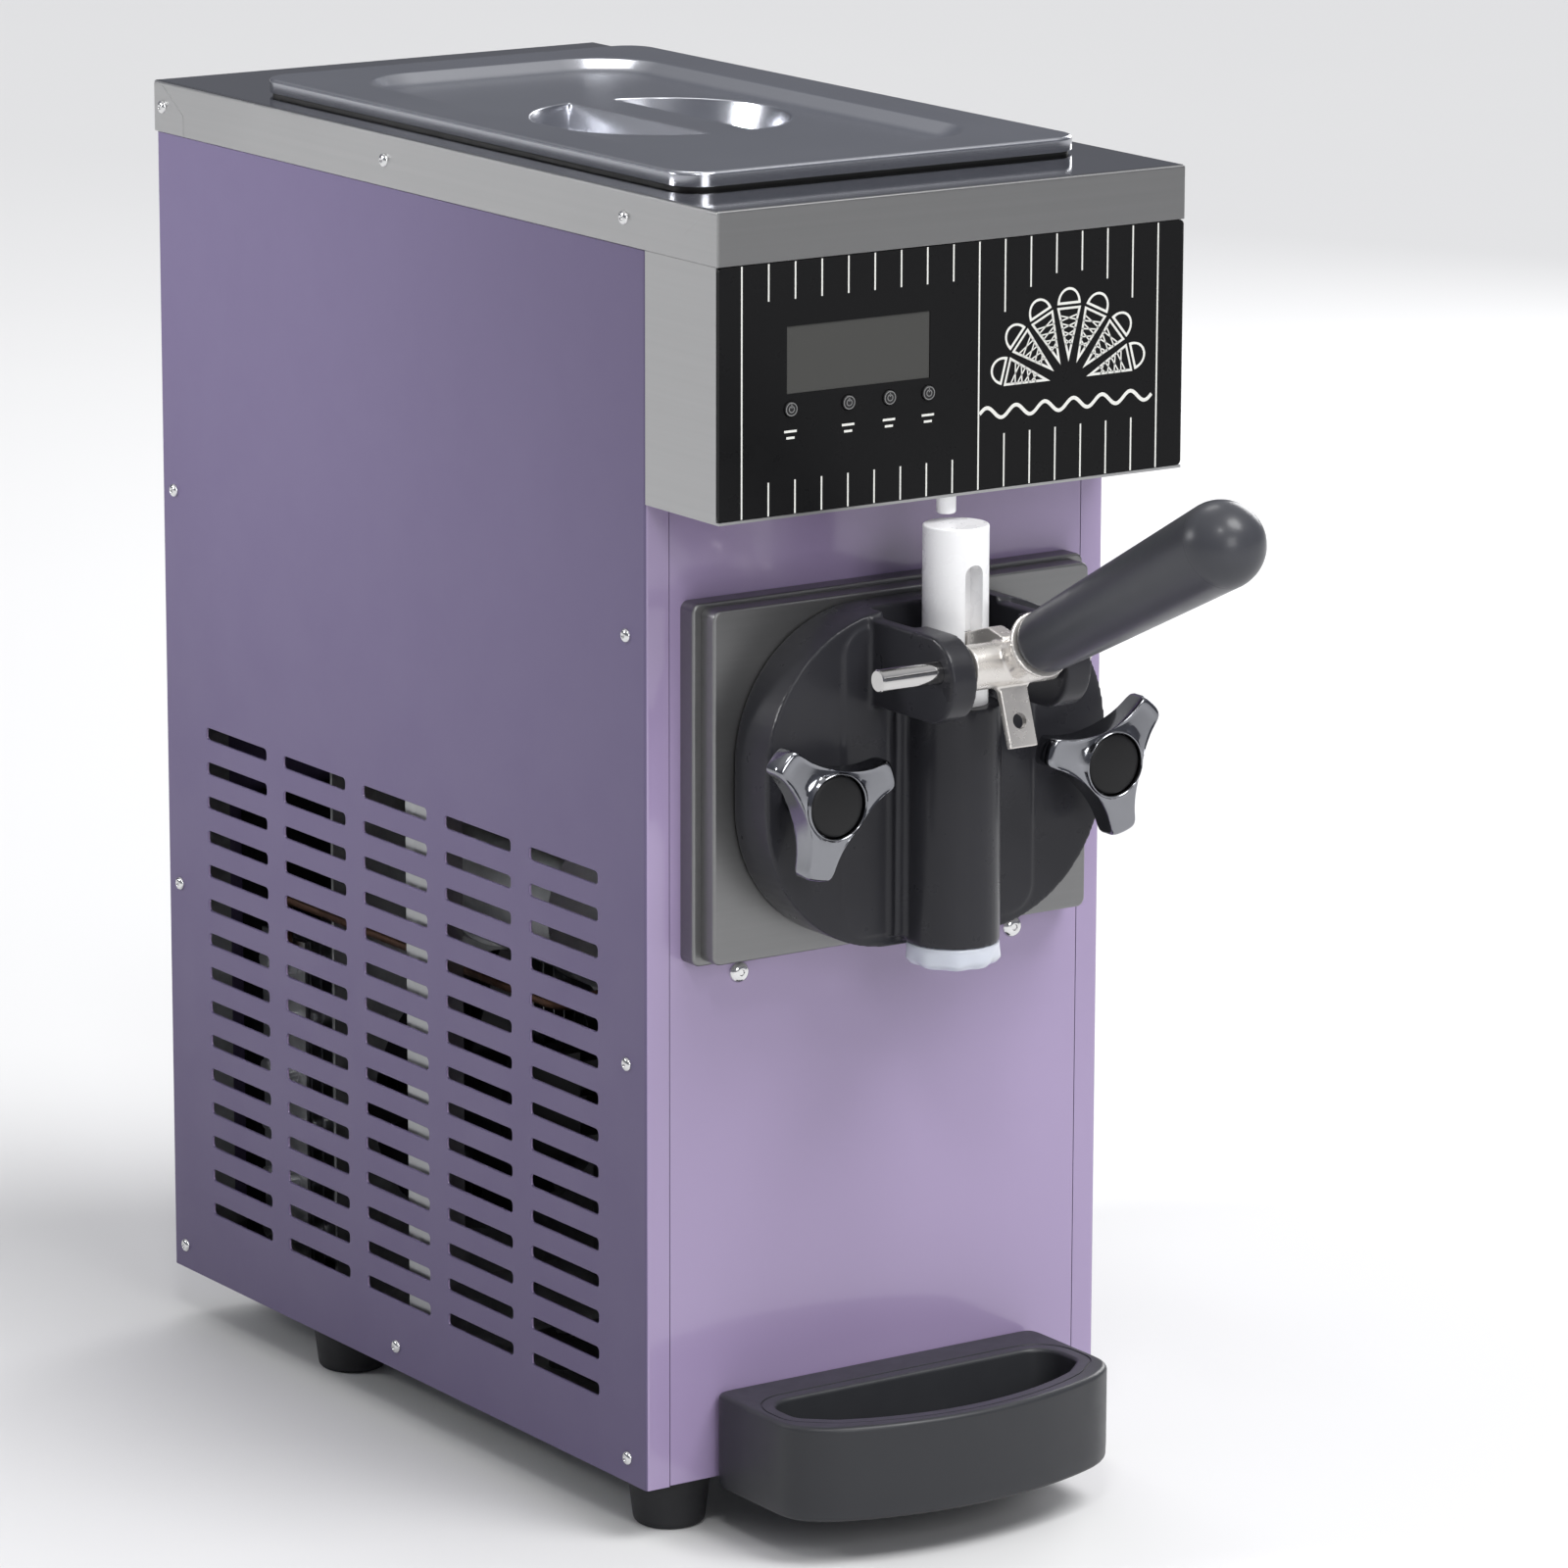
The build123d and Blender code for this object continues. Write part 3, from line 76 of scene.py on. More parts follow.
# ---------------------------------------------------------------- material nodes
class Nodes:
    """Short forms for building one material's node tree."""

    def __init__(self, name):
        self.material = bpy.data.materials.new(name)
        made[name] = self.material
        self.material.use_nodes = True
        self.tree = self.material.node_tree
        self.shader = self.tree.nodes["Principled BSDF"]
        self.coordinates = self.tree.nodes.new("ShaderNodeTexCoord").outputs["Object"]

    def link(self, a, b):
        self.tree.links.new(a, b)

    def mapped(self, scale):
        node = self.tree.nodes.new("ShaderNodeMapping")
        node.inputs["Scale"].default_value = scale
        self.link(self.coordinates, node.inputs["Vector"])
        return node.outputs["Vector"]

    def noise(self, scale, detail=3.0):
        """Noise with scale given per metre, one number or three."""
        scales = scale if isinstance(scale, tuple) else (scale, scale, scale)
        node = self.tree.nodes.new("ShaderNodeTexNoise")
        node.inputs["Scale"].default_value = 1.0
        node.inputs["Detail"].default_value = detail
        node.inputs["Roughness"].default_value = 0.55
        self.link(self.mapped(scales), node.inputs["Vector"])
        return node.outputs["Fac"]

    def span(self, value, low, high):
        """A noise value spread over a range."""
        node = self.tree.nodes.new("ShaderNodeMapRange")
        node.inputs["From Min"].default_value = 0.3
        node.inputs["From Max"].default_value = 0.7
        node.inputs["To Min"].default_value = low
        node.inputs["To Max"].default_value = high
        self.link(value, node.inputs["Value"])
        return node.outputs["Result"]

    def mixed(self, factor, a, b):
        """Colour a where the factor is 0 and b where it is 1."""
        node = self.tree.nodes.new("ShaderNodeMix")
        node.data_type = "RGBA"
        for value, name in ((factor, "Factor"), (a, "A"), (b, "B")):
            socket = [s for s in node.inputs if s.name == name and s.enabled][0]
            if isinstance(value, (tuple, float)):
                socket.default_value = (*value, 1) if isinstance(value, tuple) else value
            else:
                self.link(value, socket)
        return [s for s in node.outputs if s.enabled][0]

    def bump(self, height, distance, strength=1.0):
        node = self.tree.nodes.new("ShaderNodeBump")
        node.inputs["Strength"].default_value = strength
        node.inputs["Distance"].default_value = distance
        self.link(height, node.inputs["Height"])
        return node.outputs["Normal"]

    def edges(self):
        """1 on convex edges and 0 elsewhere, for wear."""
        geometry = self.tree.nodes.new("ShaderNodeNewGeometry")
        node = self.tree.nodes.new("ShaderNodeValToRGB")
        for element, (place, shade) in zip(node.color_ramp.elements, ((0.5, 0.0), (0.56, 1.0))):
            element.position = place
            element.color = (shade, shade, shade, 1)
        self.link(geometry.outputs["Pointiness"], node.inputs["Fac"])
        return node.outputs["Color"]

    def set(self, **values):
        """Gives the shader's inputs a number, a colour or a link."""
        for name, value in values.items():
            socket = self.shader.inputs[name.replace("_", " ")]
            if isinstance(value, (int, float)):
                socket.default_value = value
            elif isinstance(value, tuple):
                socket.default_value = (*value, 1)[: len(socket.default_value)]
            else:
                self.link(value, socket)


def linear(r, g, b):
    """An sRGB colour in 0..255 as linear values."""
    parts = [c / 255 for c in (r, g, b)]
    return tuple(c / 12.92 if c <= 0.04045 else ((c + 0.055) / 1.055) ** 2.4 for c in parts)


def brushed(name, colour, rough, along, depth=0.000012, streak=0.04):
    """Satin metal with fine lines along one axis."""
    m = Nodes(name)
    fine = tuple(12.0 if axis == along else 2600.0 for axis in "xyz")
    coarse = tuple(3.0 if axis == along else 420.0 for axis in "xyz")
    lines = m.noise(fine, 2.0)
    broad = m.noise(coarse, 2.0)
    smear = m.noise(9.0, 3.0)
    shade = tuple(min(1.0, c * (1 + streak)) for c in colour)
    dark = tuple(c * (1 - streak) for c in colour)
    m.set(
        Base_Color=m.mixed(broad, dark, shade),
        Metallic=1.0,
        Roughness=m.mixed(smear, (rough * 0.85,) * 3, (rough * 1.2,) * 3),
        Normal=m.bump(lines, depth, 0.5),
    )


def polished(name, colour, rough, scale=60.0, spread=0.5, depth=0.0):
    """Smooth metal with faint smudges in its gloss."""
    m = Nodes(name)
    m.set(
        Base_Color=m.mixed(m.noise(scale * 0.4), tuple(c * 0.94 for c in colour), colour),
        Metallic=1.0,
        Roughness=m.span(m.noise(scale), rough * (1 - spread), rough * (1 + spread)),
    )
    if depth:
        m.set(Normal=m.bump(m.noise(scale * 12), depth))


def paint(name, colour, rough, peel=0.00002, coat=0.0, drift=0.05, gloss=0.5):
    """Baked enamel on sheet: orange peel, slight drift of shade, coat where it is glossy."""
    m = Nodes(name)
    drifted = m.mixed(
        m.noise(5.0, 2.0), tuple(c * (1 - drift) for c in colour), tuple(c * (1 + drift) for c in colour)
    )
    m.set(
        Base_Color=drifted,
        Roughness=m.span(m.noise(26.0, 4.0), rough * 0.85, rough * 1.15),
        Coat_Weight=coat,
        Coat_Roughness=0.06,
        Specular_IOR_Level=gloss,
        Normal=m.bump(m.noise(700.0, 2.0), peel),
    )


def moulded(name, colour, rough, grain=0.00003, scale=1500.0, coat=0.0, wear=1.25, gloss=0.35):
    """Moulded plastic or rubber: fine spark grain, slightly paler edges, uneven gloss."""
    m = Nodes(name)
    shade = m.mixed(m.noise(30.0, 3.0), tuple(c * 0.92 for c in colour), tuple(c * 1.08 for c in colour))
    m.set(
        Base_Color=m.mixed(m.edges(), shade, tuple(min(1.0, c * wear) for c in colour)),
        Roughness=m.span(m.noise(90.0, 4.0), rough * 0.88, rough * 1.12),
        Coat_Weight=coat,
        Specular_IOR_Level=gloss,
        Normal=m.bump(m.noise(scale, 3.0), grain),
    )


def cast(name, colour, rough, metallic=1.0, depth=0.00012, scale=420.0, spread=0.15):
    """Cast or zinc-coated metal: shallow pits and mottled shade."""
    m = Nodes(name)
    pale = tuple(min(1, c * (1 + spread * 0.7)) for c in colour)
    mottle = m.mixed(m.noise(120.0, 5.0), tuple(c * (1 - spread) for c in colour), pale)
    m.set(
        Base_Color=mottle,
        Metallic=metallic,
        Roughness=m.span(m.noise(200.0, 4.0), rough * 0.8, rough * 1.25),
        Normal=m.bump(m.noise(scale, 4.0), depth),
    )


def spangled(name, colour, rough):
    """Galvanised sheet with its zinc flowers."""
    m = Nodes(name)
    cells = m.tree.nodes.new("ShaderNodeTexVoronoi")
    cells.inputs["Scale"].default_value = 140.0
    m.link(m.coordinates, cells.inputs["Vector"])
    spread = m.tree.nodes.new("ShaderNodeSeparateColor")
    m.link(cells.outputs["Color"], spread.inputs["Color"])
    flake = spread.outputs["Red"]
    m.set(
        Base_Color=m.mixed(flake, tuple(c * 0.86 for c in colour), tuple(min(1, c * 1.06) for c in colour)),
        Metallic=0.85,
        Roughness=m.span(flake, rough * 0.8, rough * 1.2),
        Normal=m.bump(m.noise(500.0, 3.0), 0.00003),
    )


def translucent(name, colour, rough):
    """Cloudy white plastic that lets some light through."""
    m = Nodes(name)
    m.set(
        Base_Color=m.mixed(m.noise(60.0), tuple(c * 0.95 for c in colour), colour),
        Roughness=m.span(m.noise(120.0), rough * 0.8, rough * 1.2),
        Transmission_Weight=0.25,
        Subsurface_Weight=0.4,
        Subsurface_Scale=0.006,
        Subsurface_Radius=(1.0, 1.0, 1.0),
        Coat_Weight=0.3,
        IOR=1.46,
        Normal=m.bump(m.noise(400.0), 0.00001),
    )


STEEL = (0.45, 0.45, 0.45)
moulded("rubber_black", linear(38, 38, 40), 0.62, 0.00006, 900.0)
brushed("stainless", STEEL, 0.32, "y")
brushed("stainless_side", STEEL, 0.3, "y")
# stainless_front is a darker copy of the same steel for faces that look forward: painted shade
brushed("stainless_front", (0.25, 0.25, 0.25), 0.4, "x")
brushed("stainless_plate", (0.36, 0.36, 0.37), 0.08, "y", 0.000001, 0.02)
brushed("stainless_lid", (0.5, 0.51, 0.55), 0.22, "y", 0.000002, 0.02)
spangled("galvanised", (0.36, 0.365, 0.37), 0.42)
# side_paint and front_paint are one enamel in two shades: side_paint is the darker copy, painted shade on
# the sides, and front_paint the lighter copy, painted light on the faces that look forward
paint("side_paint", (0.128, 0.104, 0.192), 0.42, gloss=0.25)
paint("front_paint", (0.345, 0.27, 0.445), 0.2, 0.000004, 0.6, 0.03)
moulded("fascia_black", linear(16, 16, 17), 0.3, 0.000002, 900.0, 0.0, 1.1, 0.14)
moulded("fascia_print", linear(205, 205, 200), 0.5, 0.000004, 900.0)
moulded("button_mark", linear(112, 112, 112), 0.5, 0.000004, 900.0)
moulded("filter_grey", linear(26, 26, 30), 0.9, 0.0003, 1400.0)
moulded("window_smoke", linear(62, 62, 60), 0.2, 0.000002, 500.0, 0.0, 1.1, 0.3)
moulded("board_green", linear(20, 82, 48), 0.4, 0.00002, 500.0, 0.3)
moulded("moulded_black", linear(44, 44, 48), 0.3, 0.000003, 900.0, 0.05, 1.1, 0.22)
moulded("cap_black", linear(24, 24, 25), 0.45, 0.00001, 1100.0, 0.0, 1.1, 0.25)
moulded("tray_grey", linear(46, 47, 50), 0.38, 0.00001, 1300.0)
moulded("grip_black", linear(62, 63, 68), 0.34, 0.000006, 1000.0, 0.05, 1.1, 0.35)
moulded("white_plastic", linear(252, 252, 253), 0.28, 0.000003, 800.0, 0.2, 1.01)
moulded("seal_black", linear(14, 14, 14), 0.6, 0.00001, 900.0)
moulded("seal_red", linear(150, 52, 40), 0.6, 0.00001, 900.0)
polished("bright_steel", (0.62, 0.61, 0.6), 0.1, 80.0)
# chrome is darkened below bright chrome's own colour to stand for dark reflections: painted reflection
polished("chrome", (0.27, 0.275, 0.295), 0.12, 40.0)
polished("zinc_screws", (0.78, 0.78, 0.78), 0.16, 300.0, 0.4, 0.000008)
cast("cast_steel", (0.72, 0.69, 0.655), 0.24, 0.6, 0.000004, 900.0, 0.04)
cast("cast_iron", (0.2, 0.2, 0.21), 0.5, 0.9)
cast("aluminium", (0.72, 0.73, 0.74), 0.34, 1.0, 0.00004, 900.0)
# copper is darkened far below copper's own colour so the pipes inside the cabinet look shaded: painted
# shade
cast("copper", (0.16, 0.09, 0.06), 0.45, 1.0, 0.00003, 500.0)
cast("foam", (0.72, 0.62, 0.4), 0.9, 0.0, 0.0006, 260.0)
paint("black_enamel", (0.012, 0.012, 0.013), 0.3, 0.00003, 0.3)
moulded("button_grey", linear(30, 30, 31), 0.4, 0.00001, 1200.0)
moulded("belt_rubber", linear(24, 24, 25), 0.7, 0.0001, 700.0)
translucent("clear_white", (0.78, 0.82, 0.92), 0.2)

# every CAD node takes the material of its own slot, unless LOOKS names another
record_slots = {n: m["slot"] for m in frame["record"]["materials"] for n in m.get("nodes", [])}
LOOKS = {
    # the door plates take the darker front copy of the steel: painted shade
    "door_cover": "stainless_front",
    "door_flange": "stainless_front",
    "control_housing": "stainless_side",
}
for name, node in frame["nodes"].items():
    slot_name = LOOKS.get(name) or record_slots.get(name) or node.data.materials[0].name
    node.data.materials.clear()
    node.data.materials.append(made[slot_name])

# ---------------------------------------------------------------- studio and camera
scene = bpy.context.scene
scene.view_settings.view_transform = "Standard"

# the camera was solved from the photo's straight edges, screw rows and slot rows
camera = bpy.data.objects.new("camera", bpy.data.cameras.new("camera"))
scene.collection.objects.link(camera)
camera.location = (-1.8571, -2.76005, 1.0916)
camera.rotation_euler = (radians(76.839), radians(-0.143), radians(-33.987))
camera.data.lens = 174.45
camera.data.sensor_width = 36
camera.data.clip_end = 60
scene.camera = camera

world = bpy.data.worlds.new("studio")
scene.world = world
world.use_nodes = True
sky = world.node_tree
background = sky.nodes["Background"]
direction = sky.nodes.new("ShaderNodeTexCoord")
split = sky.nodes.new("ShaderNodeSeparateXYZ")
sky.links.new(direction.outputs["Generated"], split.inputs["Vector"])
heights = sky.nodes.new("ShaderNodeValToRGB")
for element, (place, shade) in zip(
    [heights.color_ramp.elements[0], heights.color_ramp.elements[1], heights.color_ramp.elements.new(0.5)],
    ((0.0, (0.2, 0.205, 0.23)), (1.0, (0.75, 0.76, 0.8)), (0.35, (0.24, 0.25, 0.29))),
):
    element.position = place
    element.color = (*shade, 1)
sky.links.new(split.outputs["Z"], heights.inputs["Fac"])
sky.links.new(heights.outputs["Color"], background.inputs["Color"])
background.inputs["Strength"].default_value = 0.75

sun = bpy.data.objects.new("key_sun", bpy.data.lights.new("key_sun", "SUN"))
scene.collection.objects.link(sun)
sun.data.energy = 2.2
sun.data.angle = radians(28)
sun.rotation_euler = Vector((0.25, -0.55, 1.0)).to_track_quat("Z", "Y").to_euler()


def softbox(name, place, target, size, power, spread=180):
    """A rectangular area light aimed at a point."""
    lamp = bpy.data.objects.new(name, bpy.data.lights.new(name, "AREA"))
    scene.collection.objects.link(lamp)
    lamp.data.shape = "RECTANGLE"
    lamp.data.size, lamp.data.size_y = size
    lamp.data.energy = power
    lamp.data.spread = radians(spread)
    lamp.location = place
    lamp.visible_camera = False
    lamp.rotation_euler = (Vector(place) - Vector(target)).to_track_quat("Z", "Y").to_euler()


softbox("right_box", (2.6, 1.5, 1.3), (0, 0, 0.4), (1.2, 1.4), 30)
softbox("left_box", (-1.3, 0.85, 1.0), (-0.12, 0.26, 0.54), (0.3, 0.3), 1.1, 40)
softbox("front_left_box", (-1.3, -1.8, 2.7), (0, 0, 0.35), (0.45, 0.45), 14)
softbox("front_box", (-0.4, -2.6, 1.2), (0, -0.1, 0.35), (0.9, 0.9), 15)
softbox("rear_box", (0.42, 1.2, 2.6), (0, 0.1, 0.6), (0.8, 0.6), 8)

floor_mesh = bpy.data.meshes.new("floor")
floor_bm = bmesh.new()
bmesh.ops.create_grid(floor_bm, x_segments=4, y_segments=4, size=14.0)
floor_bm.to_mesh(floor_mesh)
floor = bpy.data.objects.new("floor", floor_mesh)
scene.collection.objects.link(floor)
floor_nodes = Nodes("floor_paper")
paper = floor_nodes.mixed(floor_nodes.noise(1.2), (0.70, 0.70, 0.705), (0.72, 0.72, 0.72))
floor_nodes.set(Base_Color=paper, Roughness=0.9)
floor_mesh.materials.append(floor_nodes.material)
floor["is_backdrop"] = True


# ---------------------------------------------------------------- mesh helpers, all in millimetres
FRONT = Matrix(((1, 0, 0, 0), (0, 0, -1, 0), (0, 1, 0, 0), (0, 0, 0, 1)))  # (u, v, h) -> (u, -h, v)
SIDE = Matrix(((0, 0, 1, 0), (1, 0, 0, 0), (0, 1, 0, 0), (0, 0, 0, 1)))  # (u, v, h) -> (h, u, v)
UP = Matrix.Identity(4)


def sideways(sign):
    """The place of an outline in (y, z) whose height runs out to one side."""
    return SIDE if sign > 0 else Matrix.Scale(-1, 4, (1, 0, 0)) @ SIDE


def piece(name, bm, body, material, replaced, angle=32):
    """Turns a bmesh in millimetres into a piece that rides on a body."""
    bmesh.ops.remove_doubles(bm, verts=bm.verts, dist=1e-4)
    bmesh.ops.recalc_face_normals(bm, faces=bm.faces)
    bm.transform(Matrix.Scale(MM, 4))
    mesh = bpy.data.meshes.new(name)
    bm.to_mesh(mesh)
    bm.free()
    return place_mesh(name, mesh, body, material, replaced, angle)


def place_mesh(name, mesh, body, material, replaced, angle):
    """Puts a mesh in the scene on a body, smooth up to an angle between faces."""
    mesh.shade_smooth()
    mesh.set_sharp_from_angle(angle=radians(angle))
    mesh.materials.clear()
    mesh.materials.append(made[material])
    thing = bpy.data.objects.new(name, mesh)
    scene.collection.objects.link(thing)
    modifier = thing.modifiers.new("normals", "WEIGHTED_NORMAL")
    modifier.keep_sharp = True
    modifier.weight = 80
    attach(thing, body)
    if replaced:
        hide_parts(*replaced)
    return thing


def dressed(thing, *looks):
    """Gives the faces that look along each direction a material of their own. Where that material is a
    lighter or darker copy of the same finish, the difference is painted light and shade.
    """
    for direction, material in looks:
        thing.data.materials.append(made[material])
        for face in thing.data.polygons:
            if face.normal.dot(Vector(direction)) > 0.75:
                face.material_index = len(thing.data.materials) - 1


def ring(bm, loop, height, place):
    """A closed row of vertices from a 2D loop at one height."""
    return [bm.verts.new(place @ Vector((u, v, height))) for u, v in loop]


def skin(bm, a, b):
    """Quads between two rings of the same count."""
    count = len(a)
    for i in range(count):
        j = (i + 1) % count
        bm.faces.new((a[i], a[j], b[j], b[i]))


def fill(bm, *rings):
    """Flat triangles inside the outer ring and outside the others."""
    edges = []
    for row in rings:
        for i, vertex in enumerate(row):
            after = row[(i + 1) % len(row)]
            edges.append(bm.edges.get((vertex, after)) or bm.edges.new((vertex, after)))
    bmesh.ops.triangle_fill(bm, edges=edges, use_beauty=True)


def grown(loop, distance):
    """The loop moved outwards by a distance; a clockwise loop, a hole, moves into its hole."""
    out = []
    count = len(loop)
    for i in range(count):
        a, b, c = Vector(loop[i - 1]), Vector(loop[i]), Vector(loop[(i + 1) % count])
        u, v = (b - a).normalized(), (c - b).normalized()
        nu, nv = Vector((u.y, -u.x)), Vector((v.y, -v.x))
        n = nu + nv
        n = n / max(n.length_squared / 2, 0.3)
        out.append((b.x + n.x * distance, b.y + n.y * distance))
    return out


def wall(bm, loop, profile, place=UP):
    """Rings of one loop at each (growth, height) of a profile, skinned together."""
    rows = [ring(bm, grown(loop, growth), height, place) for growth, height in profile]
    for a, b in zip(rows, rows[1:]):
        skin(bm, a, b)
    return rows[0], rows[-1]


def quarter(growth, height, radius, up, out, steps=4):
    """Profile points round an edge: from a wall at full growth to a flat at full height.
    up is the direction of the flat (+1 or -1), out the direction in which growth ends."""
    points = []
    for k in range(steps + 1):
        t = pi / 2 * k / steps
        points.append((growth + out * radius * (1 - cos(t)), height - up * radius * (1 - sin(t))))
    return points


def rounded(points, radii, steps):
    """A closed 2D outline with its corners rounded."""
    out = []
    count = len(points)
    if isinstance(radii, (int, float)):
        radii = [radii] * count
    for i, radius in enumerate(radii):
        b = Vector(points[i])
        if radius <= 0:
            out.append((b.x, b.y))
            continue
        u = (Vector(points[i - 1]) - b).normalized()
        v = (Vector(points[(i + 1) % count]) - b).normalized()
        half = u.angle(v) / 2
        centre = b + (u + v).normalized() * radius / sin(half)
        start = b + u * radius / tan(half) - centre
        end = b + v * radius / tan(half) - centre
        first = atan2(start.y, start.x)
        sweep = (atan2(end.y, end.x) - first + pi) % (2 * pi) - pi
        for k in range(steps + 1):
            t = first + sweep * k / steps
            out.append((centre.x + radius * cos(t), centre.y + radius * sin(t)))
    return out


def rectangle(u0, u1, v0, v1, radius, steps):
    """A counter-clockwise rounded rectangle."""
    return rounded([(u0, v0), (u1, v0), (u1, v1), (u0, v1)], radius, steps)


def softened(loop, spacing, sigma):
    """The loop resampled evenly, with its corners eased by averaging along it."""
    points = [Vector(p) for p in loop]
    closed = points + [points[0]]
    lengths = [0.0]
    for a, b in zip(closed, closed[1:]):
        lengths.append(lengths[-1] + (b - a).length)
    count = int(lengths[-1] / spacing)
    even, k = [], 0
    for i in range(count):
        s = lengths[-1] * i / count
        while lengths[k + 1] < s:
            k += 1
        t = (s - lengths[k]) / (lengths[k + 1] - lengths[k])
        even.append(closed[k].lerp(closed[k + 1], t))
    reach = int(3 * sigma / spacing)
    weights = [exp(-((j * spacing / sigma) ** 2) / 2) for j in range(-reach, reach + 1)]
    total = sum(weights)
    out = []
    for i in range(count):
        p = Vector((0, 0))
        for j, w in enumerate(weights):
            p += even[(i + j - reach) % count] * w
        out.append((p.x / total, p.y / total))
    return out


def lathe(bm, profile, place, segments):
    """Turns (radius, height) points about the place's third axis; a zero radius closes the end."""
    rows = []
    for radius, height in profile:
        if radius <= 1e-6:
            rows.append([bm.verts.new(place @ Vector((0, 0, height)))])
            continue
        turns = [2 * pi * k / segments for k in range(segments)]
        points = [Vector((radius * cos(t), radius * sin(t), height)) for t in turns]
        rows.append([bm.verts.new(place @ p) for p in points])
    for a, b in zip(rows, rows[1:]):
        for k in range(segments):
            j = (k + 1) % segments
            if len(a) == 1 and len(b) > 1:
                bm.faces.new((a[0], b[k], b[j]))
            elif len(b) == 1 and len(a) > 1:
                bm.faces.new((a[k], b[0], a[j]))
            elif len(a) > 1:
                bm.faces.new((a[k], b[k], b[j], a[j]))


def plate(bm, loops, low, high, edge, place):
    """A flat plate between two heights with every edge slightly broken. Holes run clockwise."""
    profile = quarter(0, low, edge, -1, -1, 1)[::-1] + quarter(0, high, edge, 1, -1, 1)
    ends = [wall(bm, loop, profile, place) for loop in loops]
    fill(bm, *[e[0] for e in ends])
    fill(bm, *[e[1] for e in ends])


def edged(name, width):
    """Rounds the edges of a CAD node as it is shown."""
    node = frame["nodes"][name]
    weld = node.modifiers.new("weld", "WELD")
    weld.merge_threshold = 1e-6
    bevel = node.modifiers.new("edge", "BEVEL")
    bevel.width = width * MM
    bevel.segments = 2
    bevel.limit_method = "ANGLE"
    bevel.angle_limit = radians(35)
    bevel.harden_normals = True


for plate_name, width in (("door_cover", 0.7), ("door_flange", 0.7), ("control_fascia", 0.25)):
    edged(plate_name, width)

# ---------------------------------------------------------------- top cover
cover_low, cover_high = box("top_cover")
front, rear, top = cover_low.y, cover_high.y, cover_high.z
band_bottom = cover_low.z
panel_low = box("side_panel_left")[0]
base, panel_y = panel_low.z, panel_low.y
side_x = -panel_low.x
sheet = 1.2
hopper_low, hopper_high = box("hopper")
hopper_rim = 11.2
mouth = (hopper_high.x - hopper_rim, hopper_low.y + hopper_rim, hopper_high.y - hopper_rim)

bm = bmesh.new()
cover_outline = rectangle(cover_low.x, cover_high.x, front, rear, 0.9, 4)
mouth_outline = rectangle(-mouth[0], mouth[0], mouth[1], mouth[2], 22.8, 10)[::-1]
fold = [(-sheet, band_bottom), (-0.25, band_bottom), (0, band_bottom + 0.25)] + quarter(0, top, 1.3, 1, -1)
outer_last = wall(bm, cover_outline, fold)[1]
inner_last = wall(bm, cover_outline, [(-sheet, band_bottom), (-sheet, top - sheet)])[1]
mouth_first, mouth_last = wall(bm, mouth_outline, [(0, top - sheet)] + quarter(0, top, 0.5, 1, -1, 2))
fill(bm, outer_last, mouth_last)
fill(bm, inner_last, mouth_first)
cover = piece("cover_sheet", bm, "cabinet", "stainless_side", ["top_cover"])
# the band's front faces take the darker copy of the steel, which is painted shade, and the top faces take
# the glossier plate finish
dressed(cover, ((0, -1, 0), "stainless_front"), ((0, 0, 1), "stainless_plate"))

# the front and rear bands' folded tabs lie on the side bands
bm = bmesh.new()
tab_height = top - band_bottom
for side in (-1, 1):
    for edge_y, way in ((front, 1), (rear, -1)):
        tab = [(0.6, 0.2), (27.5, 0.2), (27.5, 10.0), (8.0, tab_height - 1.6), (0.6, tab_height - 1.6)]
        loop = [(edge_y + way * u, band_bottom + v) for u, v in tab]
        outline = loop if way > 0 else loop[::-1]
        plate(bm, [outline], cover_high.x - 0.3, cover_high.x + 0.14, 0.1, sideways(side))
piece("cover_tabs", bm, "cabinet", "stainless_side", [])

# ---------------------------------------------------------------- side panels
SLOT_LENGTH, SLOT_HEIGHT, SLOT_CORNER = 56.0, 5.8, 2.0
SLOT_PITCH = (71.75, 16.7)
SLOT_COUNTS = (5, 15)
slot_centre = (front + 267.5, base + 153.5)
fold_radius = 1.6
flange = 12.0


